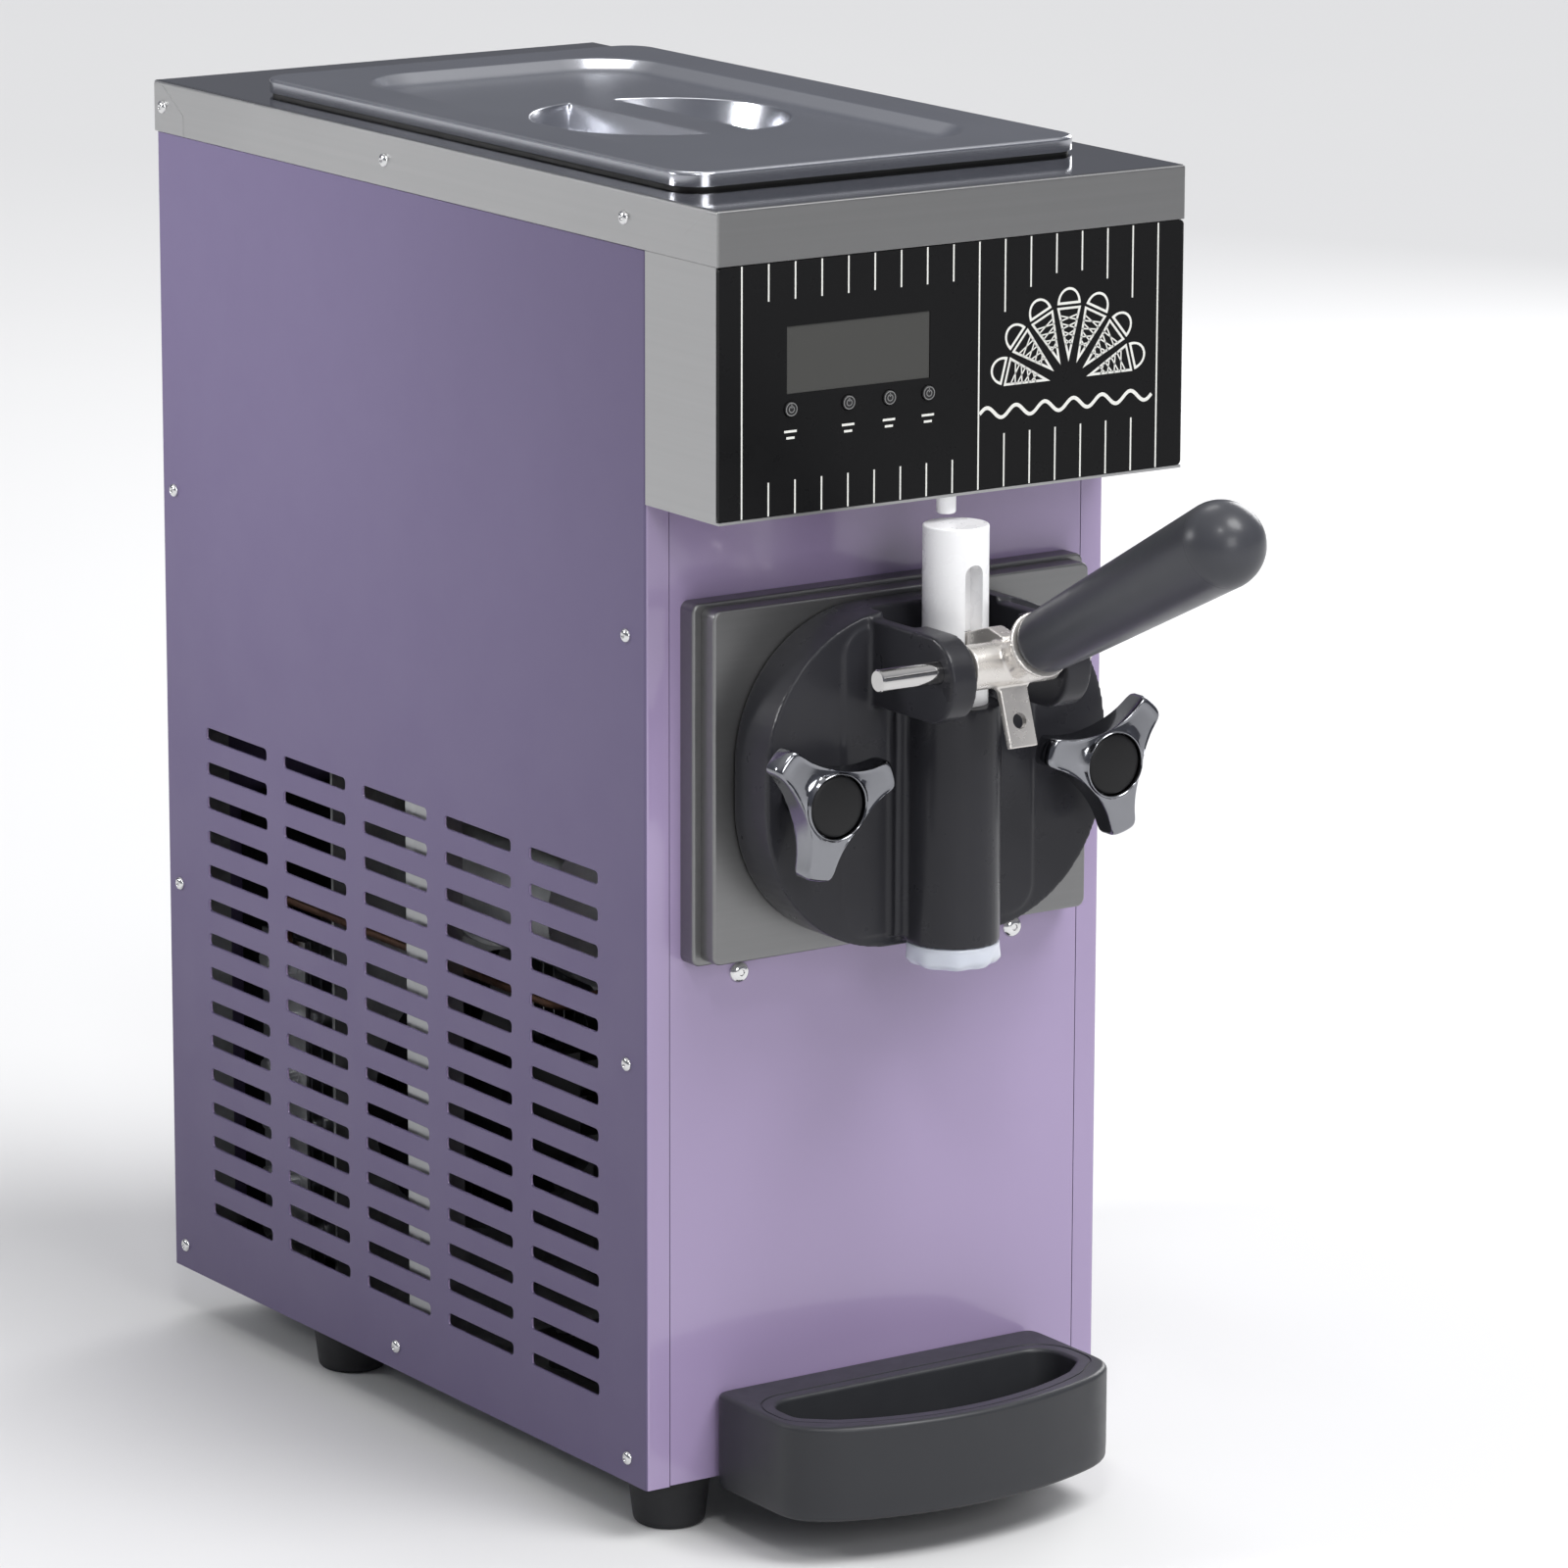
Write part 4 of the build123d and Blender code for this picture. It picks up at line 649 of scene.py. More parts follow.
def side_panel(name, sign):
    """A folded sheet with rolled slot edges, watertight from flange to flange."""
    low, high = box(name)
    y0, y1, z0, z1 = low.y + fold_radius, high.y - fold_radius, low.z, high.z
    outer, inner = side_x, side_x - sheet
    inner_radius = fold_radius - sheet
    bm = bmesh.new()
    place = sideways(sign)
    border = [(y0, z0), (y1, z0), (y1, z1), (y0, z1)]
    slots = []
    for i in range(SLOT_COUNTS[0]):
        for k in range(SLOT_COUNTS[1]):
            u = slot_centre[0] + (i - (SLOT_COUNTS[0] - 1) / 2) * SLOT_PITCH[0]
            v = slot_centre[1] + (k - (SLOT_COUNTS[1] - 1) / 2) * SLOT_PITCH[1]
            ends_y = (u - SLOT_LENGTH / 2, u + SLOT_LENGTH / 2)
            ends_z = (v - SLOT_HEIGHT / 2, v + SLOT_HEIGHT / 2)
            slots.append(rectangle(*ends_y, *ends_z, SLOT_CORNER, 4)[::-1])
    roll = quarter(0, inner, 0.15, -1, -1, 1)[::-1] + quarter(0, outer, 0.5, 1, -1, 3)
    ends = [wall(bm, loop, roll, place) for loop in slots]
    faces = [(ring(bm, border, inner, place), 0), (ring(bm, border, outer, place), 1)]
    for row, which in faces:
        fill(bm, row, *[e[which] for e in ends])
    for i in (0, 2):
        a, b = faces[0][0], faces[1][0]
        bm.faces.new((a[i], a[i + 1], b[i + 1], b[i]))
    for edge_y, way in ((y0, -1), (y1, 1)):
        outside, inside = [], []
        for k in range(6):
            t = pi / 2 * k / 5
            outside.append((outer - fold_radius * (1 - cos(t)), edge_y + way * fold_radius * sin(t)))
            inside_x = outer - sheet - inner_radius * (1 - cos(t))
            inside.append((inside_x, edge_y + way * inner_radius * sin(t)))
        outside.append((outer - flange, edge_y + way * fold_radius))
        inside.append((outer - flange, edge_y + way * inner_radius))
        rows = [
            [bm.verts.new((sign * x, y, z)) for z, (x, y) in ((z0, o), (z1, o), (z1, n), (z0, n))]
            for o, n in zip(outside, inside)
        ]
        for a, b in zip(rows, rows[1:]):
            skin(bm, a, b)
        bm.faces.new(rows[-1])
    # faces looking forward take the lighter copy of the enamel and the rest the darker copy: painted light
    # and shade on one sheet
    dressed(piece(f"{name}_sheet", bm, "cabinet", "side_paint", [name]), ((0, -1, 0), "front_paint"))


side_panel("side_panel_left", -1)
side_panel("side_panel_right", 1)

# ---------------------------------------------------------------- pleated dust filter inside the rear slots
bm = bmesh.new()
PLEAT, PLEAT_DEPTH, MAT = 9.0, 0.9, 1.2
filter_y = rear - 3.2 * sheet - 1.5
filter_half = 84.0
filter_z = (base + 10.0, base + 230.0)
count = int(2 * filter_half / (PLEAT / 4))
crests = [-filter_half + 2 * filter_half * k / count for k in range(count + 1)]
outside = [(x, filter_y + PLEAT_DEPTH * sin(2 * pi * x / PLEAT)) for x in crests]
outline = outside + [(x, y - MAT) for x, y in outside[::-1]]
rows = [[bm.verts.new((x, y, z)) for x, y in outline] for z in filter_z]
skin(bm, rows[0], rows[1])
for row in rows:
    for k in range(count):
        bm.faces.new((row[k], row[k + 1], row[-2 - k], row[-1 - k]))
piece("dust_filter", bm, "cabinet", "filter_grey", [], 60)

# ---------------------------------------------------------------- screws
bm = bmesh.new()
DOME = [(2.9, -0.3), (3.2, 0.0), (3.2, 0.35), (3.05, 0.9), (2.6, 1.4), (1.9, 1.72), (1.2, 1.85)]
DOME += [(0.95, 1.7), (0.6, 1.1), (0, 1.0)]
FIRST_ROW, MIDDLE_ROW, LAST_ROW, BAND_END = 72.2, 269.7, 466.0, 470.4
side_rows = [(y, z) for y in (FIRST_ROW, LAST_ROW) for z in (11.5, 191.8, 383.2)] + [(MIDDLE_ROW, 11.5)]
band_rows = [(y, 565.0) for y in (FIRST_ROW, MIDDLE_ROW, BAND_END)]
for sign in (-1, 1):
    turned = Matrix.Rotation(sign * pi / 2, 4, "Y")
    for rows, face in ((side_rows, side_x), (band_rows, cover_high.x)):
        for y, z in rows:
            lathe(bm, DOME, Matrix.Translation((sign * face, front + y, base + z)) @ turned, 24)
backwards = Matrix.Rotation(-pi / 2, 4, "X")
for x in (-98.0, 98.0):
    for z in (25.0, 275.0, 530.0):
        lathe(bm, DOME, Matrix.Translation((x, rear - sheet, base + z)) @ backwards, 24)
piece("panel_screw_heads", bm, "cabinet", "zinc_screws", ["panel_screws"], 40)

bm = bmesh.new()
HEAD_RADIUS = 5.0
ROUND = [(0, -8.0), (1.9, -8.0), (1.9, -0.2), (4.7, -0.2), (HEAD_RADIUS, 0.1), (4.85, 1.0), (4.3, 2.0)]
ROUND += [(3.3, 2.75), (2.1, 3.1), (1.5, 3.05), (1.2, 2.4), (0, 2.3)]
screw_low, screw_high = box("front_screws")
for x in (screw_low.x + HEAD_RADIUS, screw_high.x - HEAD_RADIUS):
    centre = Matrix.Translation((x, panel_y, (screw_low.z + screw_high.z) / 2))
    lathe(bm, ROUND, centre @ Matrix.Rotation(pi / 2, 4, "X"), 32)
piece("front_screw_heads", bm, "cabinet", "zinc_screws", ["front_screws"], 40)

# ---------------------------------------------------------------- feet
bm = bmesh.new()
FOOT = [(0, 9.0), (5.6, 9.0), (6.2, 8.4), (7.0, 0.9), (7.6, 0.2), (8.3, 0.0), (13.2, 0.0), (14.9, 0.5)]
FOOT += [(15.9, 1.7), (16.3, 3.4)] + [(16.3 + 2.3 * k / 5, 3.4 + 19.4 * k / 5) for k in range(1, 6)]
FOOT += [(18.75, 24.2), (18.3, 24.95), (17.5, 25.0), (0, 25.0)]
for x in (-93.5, 93.5):
    for y in (82.0, 357.0):
        lathe(bm, FOOT, Matrix.Translation((x, front + y, 0)), 56)
piece("rubber_feet", bm, "cabinet", "rubber_black", ["feet"])

# ---------------------------------------------------------------- lid
lid_low, lid_high = box("lid")
lid_mid = (lid_low.y + lid_high.y) / 2
lid_top = lid_high.z
half_w, half_l = lid_high.x, (lid_high.y - lid_low.y) / 2
rim = 27.5
pan_z = lid_top - 5.0
lid_foot = top + 1.4
lid_wall = 1.4
recess_z = pan_z - 15.0
lid_outline = rectangle(-half_w, half_w, lid_mid - half_l, lid_mid + half_l, 15.0, 12)
pan_w = half_w - rim
pan_outline = rectangle(-pan_w, pan_w, lid_mid - half_l + rim, lid_mid + half_l - rim, 36.0, 18)[::-1]
pocket_radius = 60.0
bar_half = 11.0
pocket_loops = []
for sign in (-1, 1):
    start = asin(bar_half / pocket_radius)
    turns = [start + (pi - 2 * start) * k / 90 for k in range(91)]
    arc = [(sign * pocket_radius * sin(t), lid_mid - pocket_radius * cos(t)) for t in turns]
    eased = softened(arc, 1.4, 1.6)
    pocket_loops.append(eased[::-1] if sign > 0 else eased)

bm = bmesh.new()
ROLL = 1.7
lid_side = [(-lid_wall, lid_foot), (-0.3, lid_foot), (0, lid_foot + 0.3)]
lid_side += quarter(0, lid_top, ROLL, 1, -1, 6)
rim_last = wall(bm, lid_outline, lid_side)[1]
slope = [(0, lid_top), (0.8, lid_top - 0.1), (1.6, lid_top - 0.5), (6.4, pan_z + 1.7), (8.2, pan_z + 0.8)]
slope += [(10.6, pan_z + 0.3), (13.5, pan_z + 0.06), (16.0, pan_z)]
pan_first, pan_last = wall(bm, pan_outline, slope)
fill(bm, rim_last, pan_first)
draft = tan(radians(15))
pocket_side = [(0, pan_z), (0.5, pan_z - 0.12), (0.9, pan_z - 0.5), (0.9 + 9.5 * draft, pan_z - 10.0)]
pocket_side += [(4.2, recess_z + 2.6), (5.2, recess_z + 1.1), (6.8, recess_z + 0.2), (8.6, recess_z)]
pockets = [wall(bm, loop, pocket_side) for loop in pocket_loops]
fill(bm, pan_last, *[p[0] for p in pockets])
for ends in pockets:
    fill(bm, ends[1])
under_side = [(-lid_wall, lid_foot), (-lid_wall, lid_top - 3.0), (-3.6, lid_top - lid_wall)]
under_last = wall(bm, lid_outline, under_side)[1]
deep = [(-0.6, lid_top - lid_wall), (0.9, lid_top - 2.1), (5.6, pan_z + 0.3)]
deep += [(8.6, pan_z - 0.8), (12.0, pan_z - 1.25), (16.0, pan_z - lid_wall)]
deep_first, deep_last = wall(bm, pan_outline, deep)
fill(bm, under_last, deep_first)
shell_side = [(-1.4, pan_z - lid_wall), (-0.4, pan_z - 2.4), (2.6, recess_z + 1.4)]
shell_side += [(4.2, recess_z - 0.6), (7.0, recess_z - lid_wall)]
shells = [wall(bm, loop, shell_side) for loop in pocket_loops]
fill(bm, deep_last, *[s[0] for s in shells])
for ends in shells:
    fill(bm, ends[1])
piece("lid_pan", bm, "lid", "stainless_lid", ["lid"], 50)

# ---------------------------------------------------------------- drip tray
tray_low, tray_high = box("drip_tray")
tray_x = tray_high.x
tray_front, tray_back = tray_low.y, tray_high.y
shoulder = front - 17.0


def bow(half, y_ends, y_middle, count):
    """Points of a shallow arc from left to right."""
    sag = y_ends - y_middle
    radius = (half * half + sag * sag) / (2 * sag)
    span = asin(half / radius)
    turns = [span * (2 * k / count - 1) for k in range(count + 1)]
    return [(radius * sin(t), y_middle + radius * (1 - cos(t))) for t in turns]


arc = bow(71.0, shoulder, tray_front, 24)
side_foot = shoulder + 12.0
corners = [(-tray_x, tray_back), (-tray_x, side_foot)] + arc + [(tray_x, side_foot), (tray_x, tray_back)]
tray_outline = softened(rounded(corners, [0, 16.0] + [0] * len(arc) + [16.0, 0], 10), 1.5, 5.0)
inner_arc = bow(64.0, shoulder + 11.0, tray_front + 10.0, 20)
recess_back = front + 33.0
recess_half, recess_corner = 78.0, front + 6.0
inner_corners = [(-recess_half, recess_back), (-recess_half, recess_corner)] + inner_arc
inner_corners += [(recess_half, recess_corner), (recess_half, recess_back)]
inner_radii = [14.0, 9.0] + [0] * len(inner_arc) + [9.0, 14.0]
recess_outline = softened(rounded(inner_corners, inner_radii, 10), 1.5, 2.0)
bm = bmesh.new()
z_top, z_low = tray_high.z, tray_low.z
outside = [(-3.0, z_low), (-1.4, z_low + 0.2), (-0.5, z_low + 0.9), (-0.2, z_low + 2.0), (0, z_low + 8.0)]
lip = 2.4
turns = [radians(18 * k) for k in range(1, 6)]
outside += [(0, z_top - lip)] + [(-lip * (1 - cos(t)), z_top - lip + lip * sin(t)) for t in turns]
tray_first, tray_last = wall(bm, tray_outline, outside)
groove_out, groove_in = 5.2, 4.2
groove = [(-groove_out, z_top), (-groove_out + 0.25, z_top - 0.55)]
groove += [(-groove_in - 0.1, z_top - 0.6), (-groove_in, z_top - 0.15)]
step_first, step_last = wall(bm, recess_outline[::-1], groove)
fill(bm, tray_last, step_first)
INSIDE = [(0, 0.15), (0.8, 0.35), (1.5, 0.95), (1.9, 2.0), (3.4, 24.0), (4.6, 27.2)]
INSIDE += [(7.2, 29.0), (10.5, 29.6)]
inside = [(growth, z_top - depth) for growth, depth in INSIDE]
recess_first, recess_last = wall(bm, recess_outline[::-1], inside)
fill(bm, step_last, recess_first)
fill(bm, recess_last)
fill(bm, tray_first)
piece("drip_tray_moulding", bm, "tray", "tray_grey", ["drip_tray"], 50)

# ---------------------------------------------------------------- grip
pin_low, pin_high = box("pivot_pin")
pivot = Vector((0, (pin_low.y + pin_high.y) / 2, (pin_low.z + pin_high.z) / 2))
PIN_BORE = 5.1
grip_low, grip_high = box("grip")
end_radius = grip_high.x
rise = radians(27.1)
grip_length = (pivot.y - grip_low.y - end_radius) / cos(rise)
along_grip = Matrix.Translation(pivot) @ Matrix.Rotation(pi / 2 - rise, 4, "X")
GRIP_START = 27.6
GRIP_COLLAR = 5.0
GRIP_NECK = 13.75
COLLAR = [(0, 1.5), (7.1, 1.5), (7.4, 0.2), (9.6, 0.0), (11.4, 0.35), (12.6, 1.2), (13.3, 2.6)]
COLLAR += [(GRIP_NECK, GRIP_COLLAR)]
profile = [(radius, GRIP_START + height) for radius, height in COLLAR]
for k in range(1, 16):
    t = k / 16
    radius = GRIP_NECK + 5.15 * (t ** 0.8) * (1 - 0.12 * (1 - t))
    profile.append((radius, GRIP_START + GRIP_COLLAR + (grip_length - GRIP_START - GRIP_COLLAR) * t))
profile.append((end_radius, grip_length))
# a moulding line, then the round end
profile += [(end_radius - 0.16, grip_length + 0.35), (end_radius - 0.05, grip_length + 0.8)]
turns = [radians(a) for a in (6, 14, 22, 30, 38, 46, 54, 62, 70, 78, 84)]
profile += [(end_radius * cos(t), grip_length + end_radius * sin(t)) for t in turns]
profile.append((0, grip_length + end_radius))
bm = bmesh.new()
lathe(bm, profile, along_grip, 96)
piece("grip_moulding", bm, "handle", "grip_black", ["grip"], 30)


# ---------------------------------------------------------------- dispensing head
def solid(bm, loop, low, high, place=UP):
    """A closed prism of a counter-clockwise outline."""
    first, last = wall(bm, loop, [(0, low), (0, high)], place)
    fill(bm, first)
    fill(bm, last)


def circle(u, v, radius, count):
    """A counter-clockwise circle."""
    turns = [2 * pi * k / count for k in range(count)]
    return [(u + radius * cos(t), v + radius * sin(t)) for t in turns]


def scratch(name, bm):
    """An object used only to shape another one."""
    bmesh.ops.recalc_face_normals(bm, faces=bm.faces)
    bm.transform(Matrix.Scale(MM, 4))
    mesh = bpy.data.meshes.new(name)
    bm.to_mesh(mesh)
    bm.free()
    thing = bpy.data.objects.new(name, mesh)
    scene.collection.objects.link(thing)
    return thing


def melted(name, bm, hollows, bores, voxel, ease):
    """Joins overlapping closed shells, hollows them, eases every edge and then cuts crisp bores."""
    blank = scratch(name, bm)
    tools = []
    for kind, cutter in (("hollow", hollows), ("bore", bores)):
        tool = scratch(f"{name}_{kind}", cutter)
        tools.append(tool)
        if kind == "bore":
            remesh = blank.modifiers.new("skin", "REMESH")
            remesh.mode = "VOXEL"
            remesh.voxel_size = voxel * MM
            smooth = blank.modifiers.new("ease", "SMOOTH")
            smooth.factor = 0.5
            smooth.iterations = ease
        cut = blank.modifiers.new(kind, "BOOLEAN")
        cut.operation = "DIFFERENCE"
        cut.solver = "EXACT"
        cut.use_self = kind == "hollow"
        cut.object = tool
    shaped = blank.evaluated_get(bpy.context.evaluated_depsgraph_get())
    mesh = bpy.data.meshes.new_from_object(shaped)
    for thing in [blank] + tools:
        bpy.data.objects.remove(thing)
    return mesh


head_low, head_high = box("dispensing_head")
plunger_low, plunger_high = box("plunger")
plunger_y = (plunger_low.y + plunger_high.y) / 2
plate_face = head_high.y
head_face = front + 10.0
column_foot, spout_foot = base + 247.0, base + 241.0
column_radius, spout_radius = 20.5, 16.0
plunger_bore, stud_bore = 14.6, 4.6
shelf = base + 353.0
door_z = base + 319.0
stud_x = 73.3
ear_out, ear_in, ear_radius = 36.4, 23.7, 19.0
nose = (head_low.y + ear_radius, base + 372.5)


def across(half, y0, y1):
    """A rectangle that spans the column's axis."""
    return [(-half, y0), (half, y0), (half, y1), (-half, y1)]


bm = bmesh.new()
disc = rectangle(-head_high.x, head_high.x, base + 244.5, base + 394.5, 66.0, 20)
solid(bm, disc, -plate_face, -head_face, FRONT)
solid(bm, circle(0, plunger_y, column_radius, 96), column_foot, shelf)
solid(bm, across(column_radius, plunger_y, head_face + 4), column_foot + 0.4, shelf - 0.4)
solid(bm, across(26.0, head_face - 5.5, head_face + 4), column_foot + 3, shelf + 1)
solid(bm, circle(0, plunger_y, spout_radius, 64), spout_foot, column_foot + 2)
turns = [pi * k / 24 for k in range(25)]
ear = [(nose[0] - ear_radius * sin(t), nose[1] + ear_radius * cos(t)) for t in turns]
ear += [(head_face + 3, nose[1] - ear_radius), (head_face + 3, nose[1] + ear_radius)]
solid(bm, ear, -ear_out, ear_out, SIDE)
raised = rectangle(-50.0, 50.0, base + 251.0, base + 388.0, 12.0, 8)
solid(bm, raised, -head_face - 3.0, -head_face + 0.9, FRONT)
hollows = bmesh.new()
solid(hollows, across(ear_in, front - 60, front + 20), shelf, top)
solid(hollows, across(30, front - 14, front + 20), shelf - 0.1, top + 1)
bores = bmesh.new()
solid(bores, circle(0, plunger_y, plunger_bore, 96), base + 230.0, top)
solid(bores, circle(pivot.y, pivot.z, PIN_BORE, 48), -60.0, 60.0, SIDE)
solid(bores, circle(0, door_z, 47.0, 96), -plate_face - 2.0, -plate_face + 8.0, FRONT)
for x in (-stud_x, stud_x):
    solid(bores, circle(x, door_z, stud_bore, 32), -plate_face - 2.0, 200.0, FRONT)
head_mesh = melted("head_shape", bm, hollows, bores, 1.0, 5)
place_mesh("head_moulding", head_mesh, "cabinet", "moulded_black", ["dispensing_head"], 50)

# ---------------------------------------------------------------- lever
tilt = radians(18.97)
tip = (front - 7.0, base + 379.5)
bm = bmesh.new()
solid(bm, circle(pivot.y, pivot.z, 10.0, 64), -22.4, 22.4, SIDE)
NECK = [(0, 4.0), (8.6, 4.0), (8.4, 9.0), (8.6, 13.0), (9.3, 16.5), (10.6, 19.8), (12.4, 22.8)]
NECK += [(14.2, 25.4), (14.6, 26.2), (14.6, 27.4), (0, 27.4)]
lathe(bm, NECK, along_grip, 64)
tongue_half, tip_radius = 4.0, 4.5
tongue = [(pivot.y, pivot.z - 5.0), (pivot.y - 2.0, pivot.z + 12.0), (pivot.y + 9.0, pivot.z + 14.5)]
tongue += [(tip[0], tip[1] + tip_radius), (tip[0], tip[1] - tip_radius)]
solid(bm, tongue, -tongue_half, tongue_half, SIDE)
solid(bm, circle(tip[0], tip[1], tip_radius, 32), -tongue_half, tongue_half, SIDE)
flare = Matrix.Translation(pivot) @ Matrix.Rotation(-tilt, 4, "X") @ FRONT
web = [(-13.0, -4.0), (-7.3, -12.0), (-7.2, -36.9), (7.2, -36.9), (7.3, -12.0), (13.0, -4.0)]
solid(bm, web, -1.5, 1.5, flare)
# the lever isn't hollow: this cutter stands clear of it, and its cut only joins the shells
hollows = bmesh.new()
solid(hollows, circle(0, 0, 0.5, 8), 200.0, 201.0)
bores = bmesh.new()
solid(bores, circle(pivot.y, pivot.z, PIN_BORE, 48), -40.0, 40.0, SIDE)
solid(bores, circle(0, -25.5, 3.5, 32), -5.0, 5.0, flare)
lever_mesh = melted("lever_shape", bm, hollows, bores, 0.5, 4)
place_mesh("lever_casting", lever_mesh, "handle", "cast_steel", ["lever"], 50)

# ---------------------------------------------------------------- print on the fascia
fascia_low, fascia_high = box("control_fascia")
PRINT = 0.07
LINE = 0.75


def stroke(points, width):
    """The outline of a ribbon drawn along points."""
    left, right = [], []
    for i, p in enumerate(points):
        a = Vector(points[max(i - 1, 0)])
        b = Vector(points[min(i + 1, len(points) - 1)])
        along = (b - a).normalized()
        off = Vector((-along.y, along.x)) * width / 2
        left.append((p[0] + off.x, p[1] + off.y))
        right.append((p[0] - off.x, p[1] - off.y))
    return right + left[::-1]


def printed(bm, loops):
    """Ink on the fascia, as a thin plate."""
    plate(bm, loops, -front - 0.03, -front + PRINT, 0.02, FRONT)


STRIPE_PITCH = 13.6
SHORT = 14.5
foot_z, head_z = fascia_low.z + 0.2, fascia_high.z - 0.2
fan = (60.0, base + 486.0)
CONE_FOOT, CONE_TOP, CONE_HALF = 10.0, 34.0, 6.4


def bar(x0, x1, z0, z1):
    """A printed line's rectangle."""
    return [(x0, z0), (x1, z0), (x1, z1), (x0, z1)]


def fan_point(lean, u, v):
    """A point u across and v along a cone that leans out of the fan's centre."""
    out = Vector((sin(lean), cos(lean)))
    side = Vector((out.y, -out.x))
    p = Vector(fan) + side * u + out * v
    return (p.x, p.y)


def printed_cone(bm, lean):
    """A wafer cone with a criss-cross and a scoop on top."""
    cone = [fan_point(lean, *p) for p in ((0.0, CONE_FOOT), (-CONE_HALF, CONE_TOP), (CONE_HALF, CONE_TOP))]
    inner = [fan_point(lean, *p) for p in ((0.0, 14.2), (-5.0, 33.0), (5.0, 33.0))]
    printed(bm, [cone[::-1], inner])
    for v in (17.5, 21.0, 24.5, 28.0):
        half = CONE_HALF * (v - CONE_FOOT) / 24.0
        for v0, v1 in ((v, v + 2.5), (v + 2.5, v)):
            printed(bm, [stroke([fan_point(lean, -half, v0), fan_point(lean, half, v1)], 0.6)])
    scoop = [fan_point(lean, 6.2 * cos(t), 35.2 + 7.4 * sin(t)) for t in (pi * j / 16 for j in range(17))]
    core = [fan_point(lean, 4.9 * cos(t), 36.3 + 5.2 * sin(t)) for t in (pi * j / 12 for j in range(13))]
    printed(bm, [scoop, core[::-1]])


bm = bmesh.new()
for i in range(17):
    x = -110.0 + STRIPE_PITCH * i
    spans = [(foot_z, head_z)]
    if 1 <= i <= 8:
        spans = [(foot_z, foot_z + SHORT), (head_z - SHORT - 1.5, head_z)]
    elif 10 <= i <= 15:
        crown = fan[1] + 50.0 - 0.013 * (x - fan[0]) ** 2
        spans = [(foot_z, base + 468.0), (crown, head_z)]
    for low_z, high_z in spans:
        printed(bm, [bar(x - LINE / 2, x + LINE / 2, low_z, high_z)])
for k in range(7):
    printed_cone(bm, radians(-75 + 25 * k))
wave = [(13.0 + 92.0 * k / 96, base + 477.5 + 2.4 * sin(2 * pi * k / 16)) for k in range(97)]
printed(bm, [stroke(wave, 1.6)])
buttons = ("button_mode", "button_down", "button_up", "button_power")
for name in buttons:
    low, high = box(name)
    x = (low.x + high.x) / 2
    for lift, length in ((-8.2, 6.4), (-11.0, 4.2)):
        z = low.z + 3.2 + lift
        printed(bm, [bar(x - length / 2, x + length / 2, z - 0.5, z + 0.5)])
piece("fascia_stripes", bm, "cabinet", "fascia_print", [])

record_bodies = {n: body for body, owned in frame["record"]["behaviour"]["bodies"].items() for n in owned}
for name in buttons:
    low, high = box(name)
    u, v = (low.x + high.x) / 2, (low.z + high.z) / 2
    bm = bmesh.new()
    marks = [[circle(u, v, r, 40), circle(u, v, r - 0.4, 40)[::-1]] for r in (2.9, 1.5)]
    marks.append([rectangle(u - 0.22, u + 0.22, v + 0.4, v + 2.2, 0.1, 2)])
    for loops in marks:
        plate(bm, loops, -low.y - 0.03, -low.y + PRINT, 0.02, FRONT)
    piece(f"{name}_mark", bm, record_bodies[name], "button_mark", [])


# ---------------------------------------------------------------- star knobs and caps
def smooth_min(a, b, k):
    """The lesser of two lengths, blended where they are within k of each other."""
    h = max(k - abs(a - b), 0) / k
    return min(a, b) - h * h * k / 4


def lobe_reach(angle):
    """How far the knob's outline is from its centre; angle 0 is the middle of a scoop."""
    distance, scoop, reach, nowhere = 65.5, 50.0, 34.0, 80.0
    phi = (angle + pi / 3) % (2 * pi / 3) - pi / 3
    side = distance * abs(sin(phi))
    near = nowhere if side >= scoop else distance * cos(phi) - sqrt(scoop * scoop - side * side)
    return smooth_min(reach, near, 3.0)


HUB = 15.0


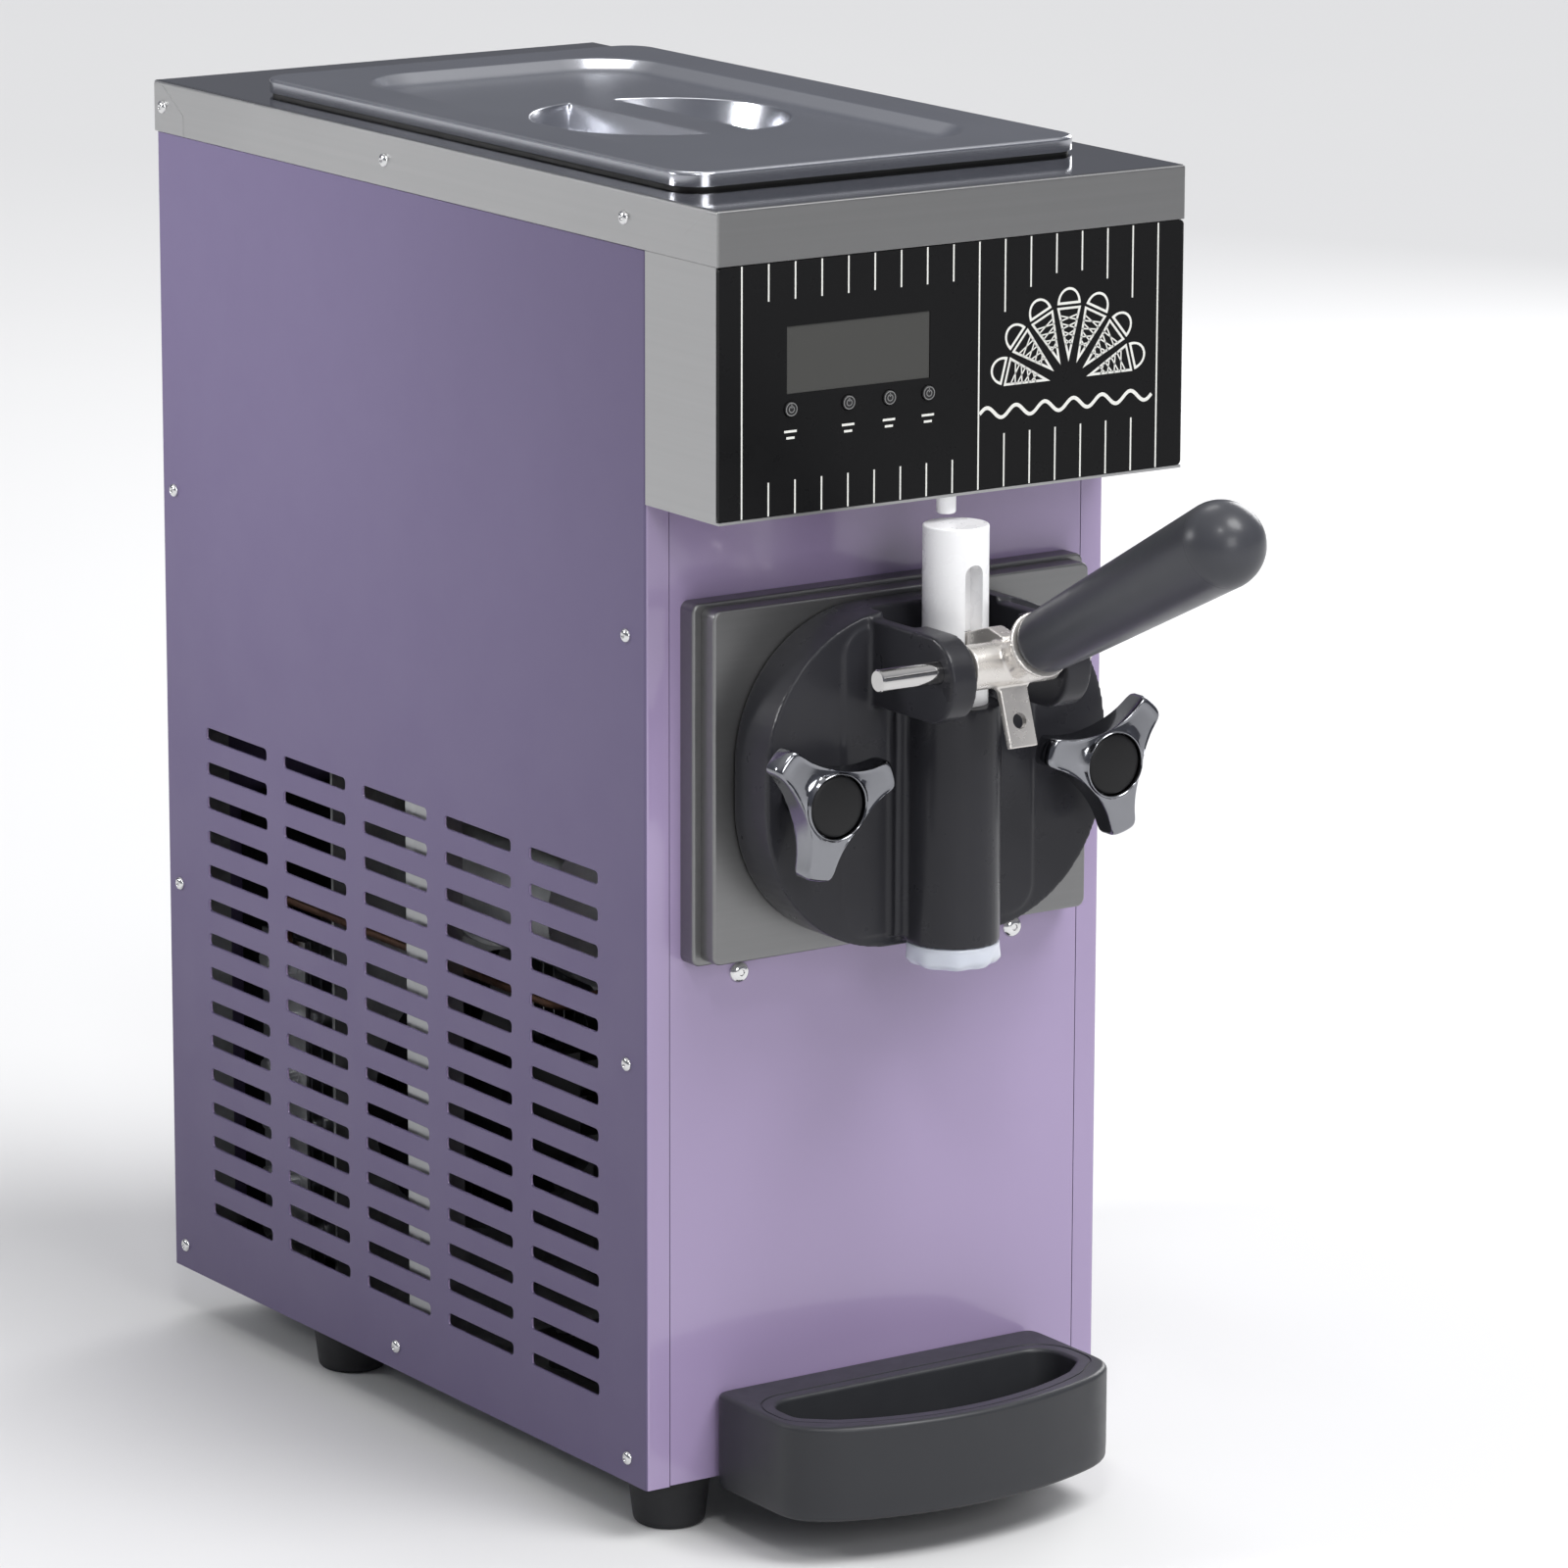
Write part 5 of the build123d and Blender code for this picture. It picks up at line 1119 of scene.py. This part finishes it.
def knob(side, turn):
    """One three-lobed knob and the cap in its middle."""
    low, high = box(f"knob_cap_{side}")
    centre = ((low.x + high.x) / 2, (low.z + high.z) / 2)
    face, back = (corner.y for corner in box(f"star_knob_{side}"))
    place = Matrix.Translation((centre[0], face, centre[1])) @ FRONT
    outline = []
    for k in range(720):
        a = 2 * pi * k / 720
        reach = lobe_reach(a - radians(turn) - pi / 3)
        outline.append((reach * cos(a), reach * sin(a)))
    star = softened(outline, 0.7, 1.7)
    bm = bmesh.new()

    def pulled(share, height, tilt=0.0):
        """The outline drawn towards the hub ring, sinking towards the tips by tilt."""
        row = []
        for u, v in star:
            r = hypot(u, v)
            aim = HUB + (r - HUB) * share
            fall = tilt * (max(0.0, aim - HUB) / 19.0) ** 0.7
            row.append(bm.verts.new(place @ Vector((u / r * aim, v / r * aim, height - fall))))
        return row

    def hub(radius, height):
        """The outline drawn all the way in to a circle."""
        row = []
        for u, v in star:
            r = hypot(u, v)
            row.append(bm.verts.new(place @ Vector((u / r * radius, v / r * radius, height))))
        return row

    rim = [(13.75, -4.5), (13.9, -0.6), (14.1, 0.0), (14.45, 0.22), (14.8, 0.0), (HUB, -0.5)]
    rows = [hub(radius, height) for radius, height in rim]
    steps = [(share, -1.6) for share in (0.1, 0.25, 0.4, 0.55, 0.66)]
    steps += [(0.74, -1.5), (0.8, -1.35), (0.86, -1.3), (0.9, -1.45), (0.94, -1.9)]
    steps += [(0.97, -2.6), (0.99, -3.6)]
    rows += [pulled(share, height, 2.6) for share, height in steps]
    rows += [pulled(1.0, -5.2, 2.2), pulled(1.0, -8.5, 1.0)]
    under = [(1.0, -13.2), (0.98, -14.3), (0.93, -14.9), (0.85, -15.0), (0.1, -15.0)]
    rows += [pulled(share, height) for share, height in under]
    stem = face - back
    neck = [(9.6, -15.4), (9.2, -16.2), (9.0, stem + 0.2), (8.7, stem), (4.05, stem), (4.05, -9.0)]
    rows += [hub(radius, height) for radius, height in neck]
    for a, b in zip(rows, rows[1:]):
        skin(bm, a, b)
    fill(bm, rows[0])
    fill(bm, rows[-1])
    piece(f"knob_star_{side}", bm, f"knob_{side}", "chrome", [f"star_knob_{side}"], 45)
    bm = bmesh.new()
    cap = [(0, -4.4), (13.5, -4.4), (13.6, -4.0), (13.65, -0.9), (13.5, -0.35), (13.1, 0.0)]
    turns = [radians(a) for a in (12, 24, 36, 48, 60, 72, 82)]
    cap += [(13.1 * cos(t), 1.55 * sin(t)) for t in turns] + [(0, 1.55)]
    lathe(bm, cap, Matrix.Translation((0, 1.5, 0)) @ place, 64)
    piece(f"knob_insert_{side}", bm, f"knob_{side}", "cap_black", [f"knob_cap_{side}"], 40)


knob("left", 138.0)
knob("right", 45.0)

# ---------------------------------------------------------------- nozzle cap with its wavy lip
nozzle_low, nozzle_high = box("nozzle_cap")
nozzle_radius = nozzle_high.x
nozzle_y = (nozzle_low.y + nozzle_high.y) / 2
SEGMENTS = 144
bm = bmesh.new()


def petal_ring(radius, height, wave=0.0, star_share=0.0):
    """A ring with nine shallow waves, blended towards the six-pointed outlet."""
    row = []
    for k in range(SEGMENTS):
        a = 2 * pi * k / SEGMENTS
        r = radius + wave * cos(9 * a) * 0.5
        star = 6.4 + 2.4 * max(0.0, cos(6 * a)) ** 1.5
        r = r * (1 - star_share) + star * star_share
        row.append(bm.verts.new((r * cos(a), nozzle_y + r * sin(a), nozzle_low.z + height)))
    return row


depth = nozzle_high.z - nozzle_low.z
skirt = nozzle_radius - 0.3
seat = 16.4
shape = [(seat, depth), (nozzle_radius - 0.9, depth), (nozzle_radius - 0.35, depth - 0.4)]
shape += [(skirt, 8.0, 0.1), (skirt, 6.4, 0.5), (skirt, 4.6, 0.9), (skirt, 3.2, 1.2)]
shape += [(19.6, 2.2, 1.4), (18.6, 1.0, 1.5), (17.0, 0.25, 1.3), (15.0, 0.0, 0.9), (12.6, 0.3, 0.4)]
shape += [(11.0, 0.9), (10.0, 1.2, 0, 0.5), (9.0, 1.0, 0, 1.0), (9.0, 3.9, 0, 1.0)]
shape += [(12.0, 4.1), (16.2, 4.3), (seat, 4.8)]
rows = [petal_ring(*step) for step in shape]
for a, b in zip(rows, rows[1:] + rows[:1]):
    skin(bm, a, b)
piece("nozzle_star", bm, "nozzle", "clear_white", ["nozzle_cap"], 60)

# ---------------------------------------------------------------- finish
low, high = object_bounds()
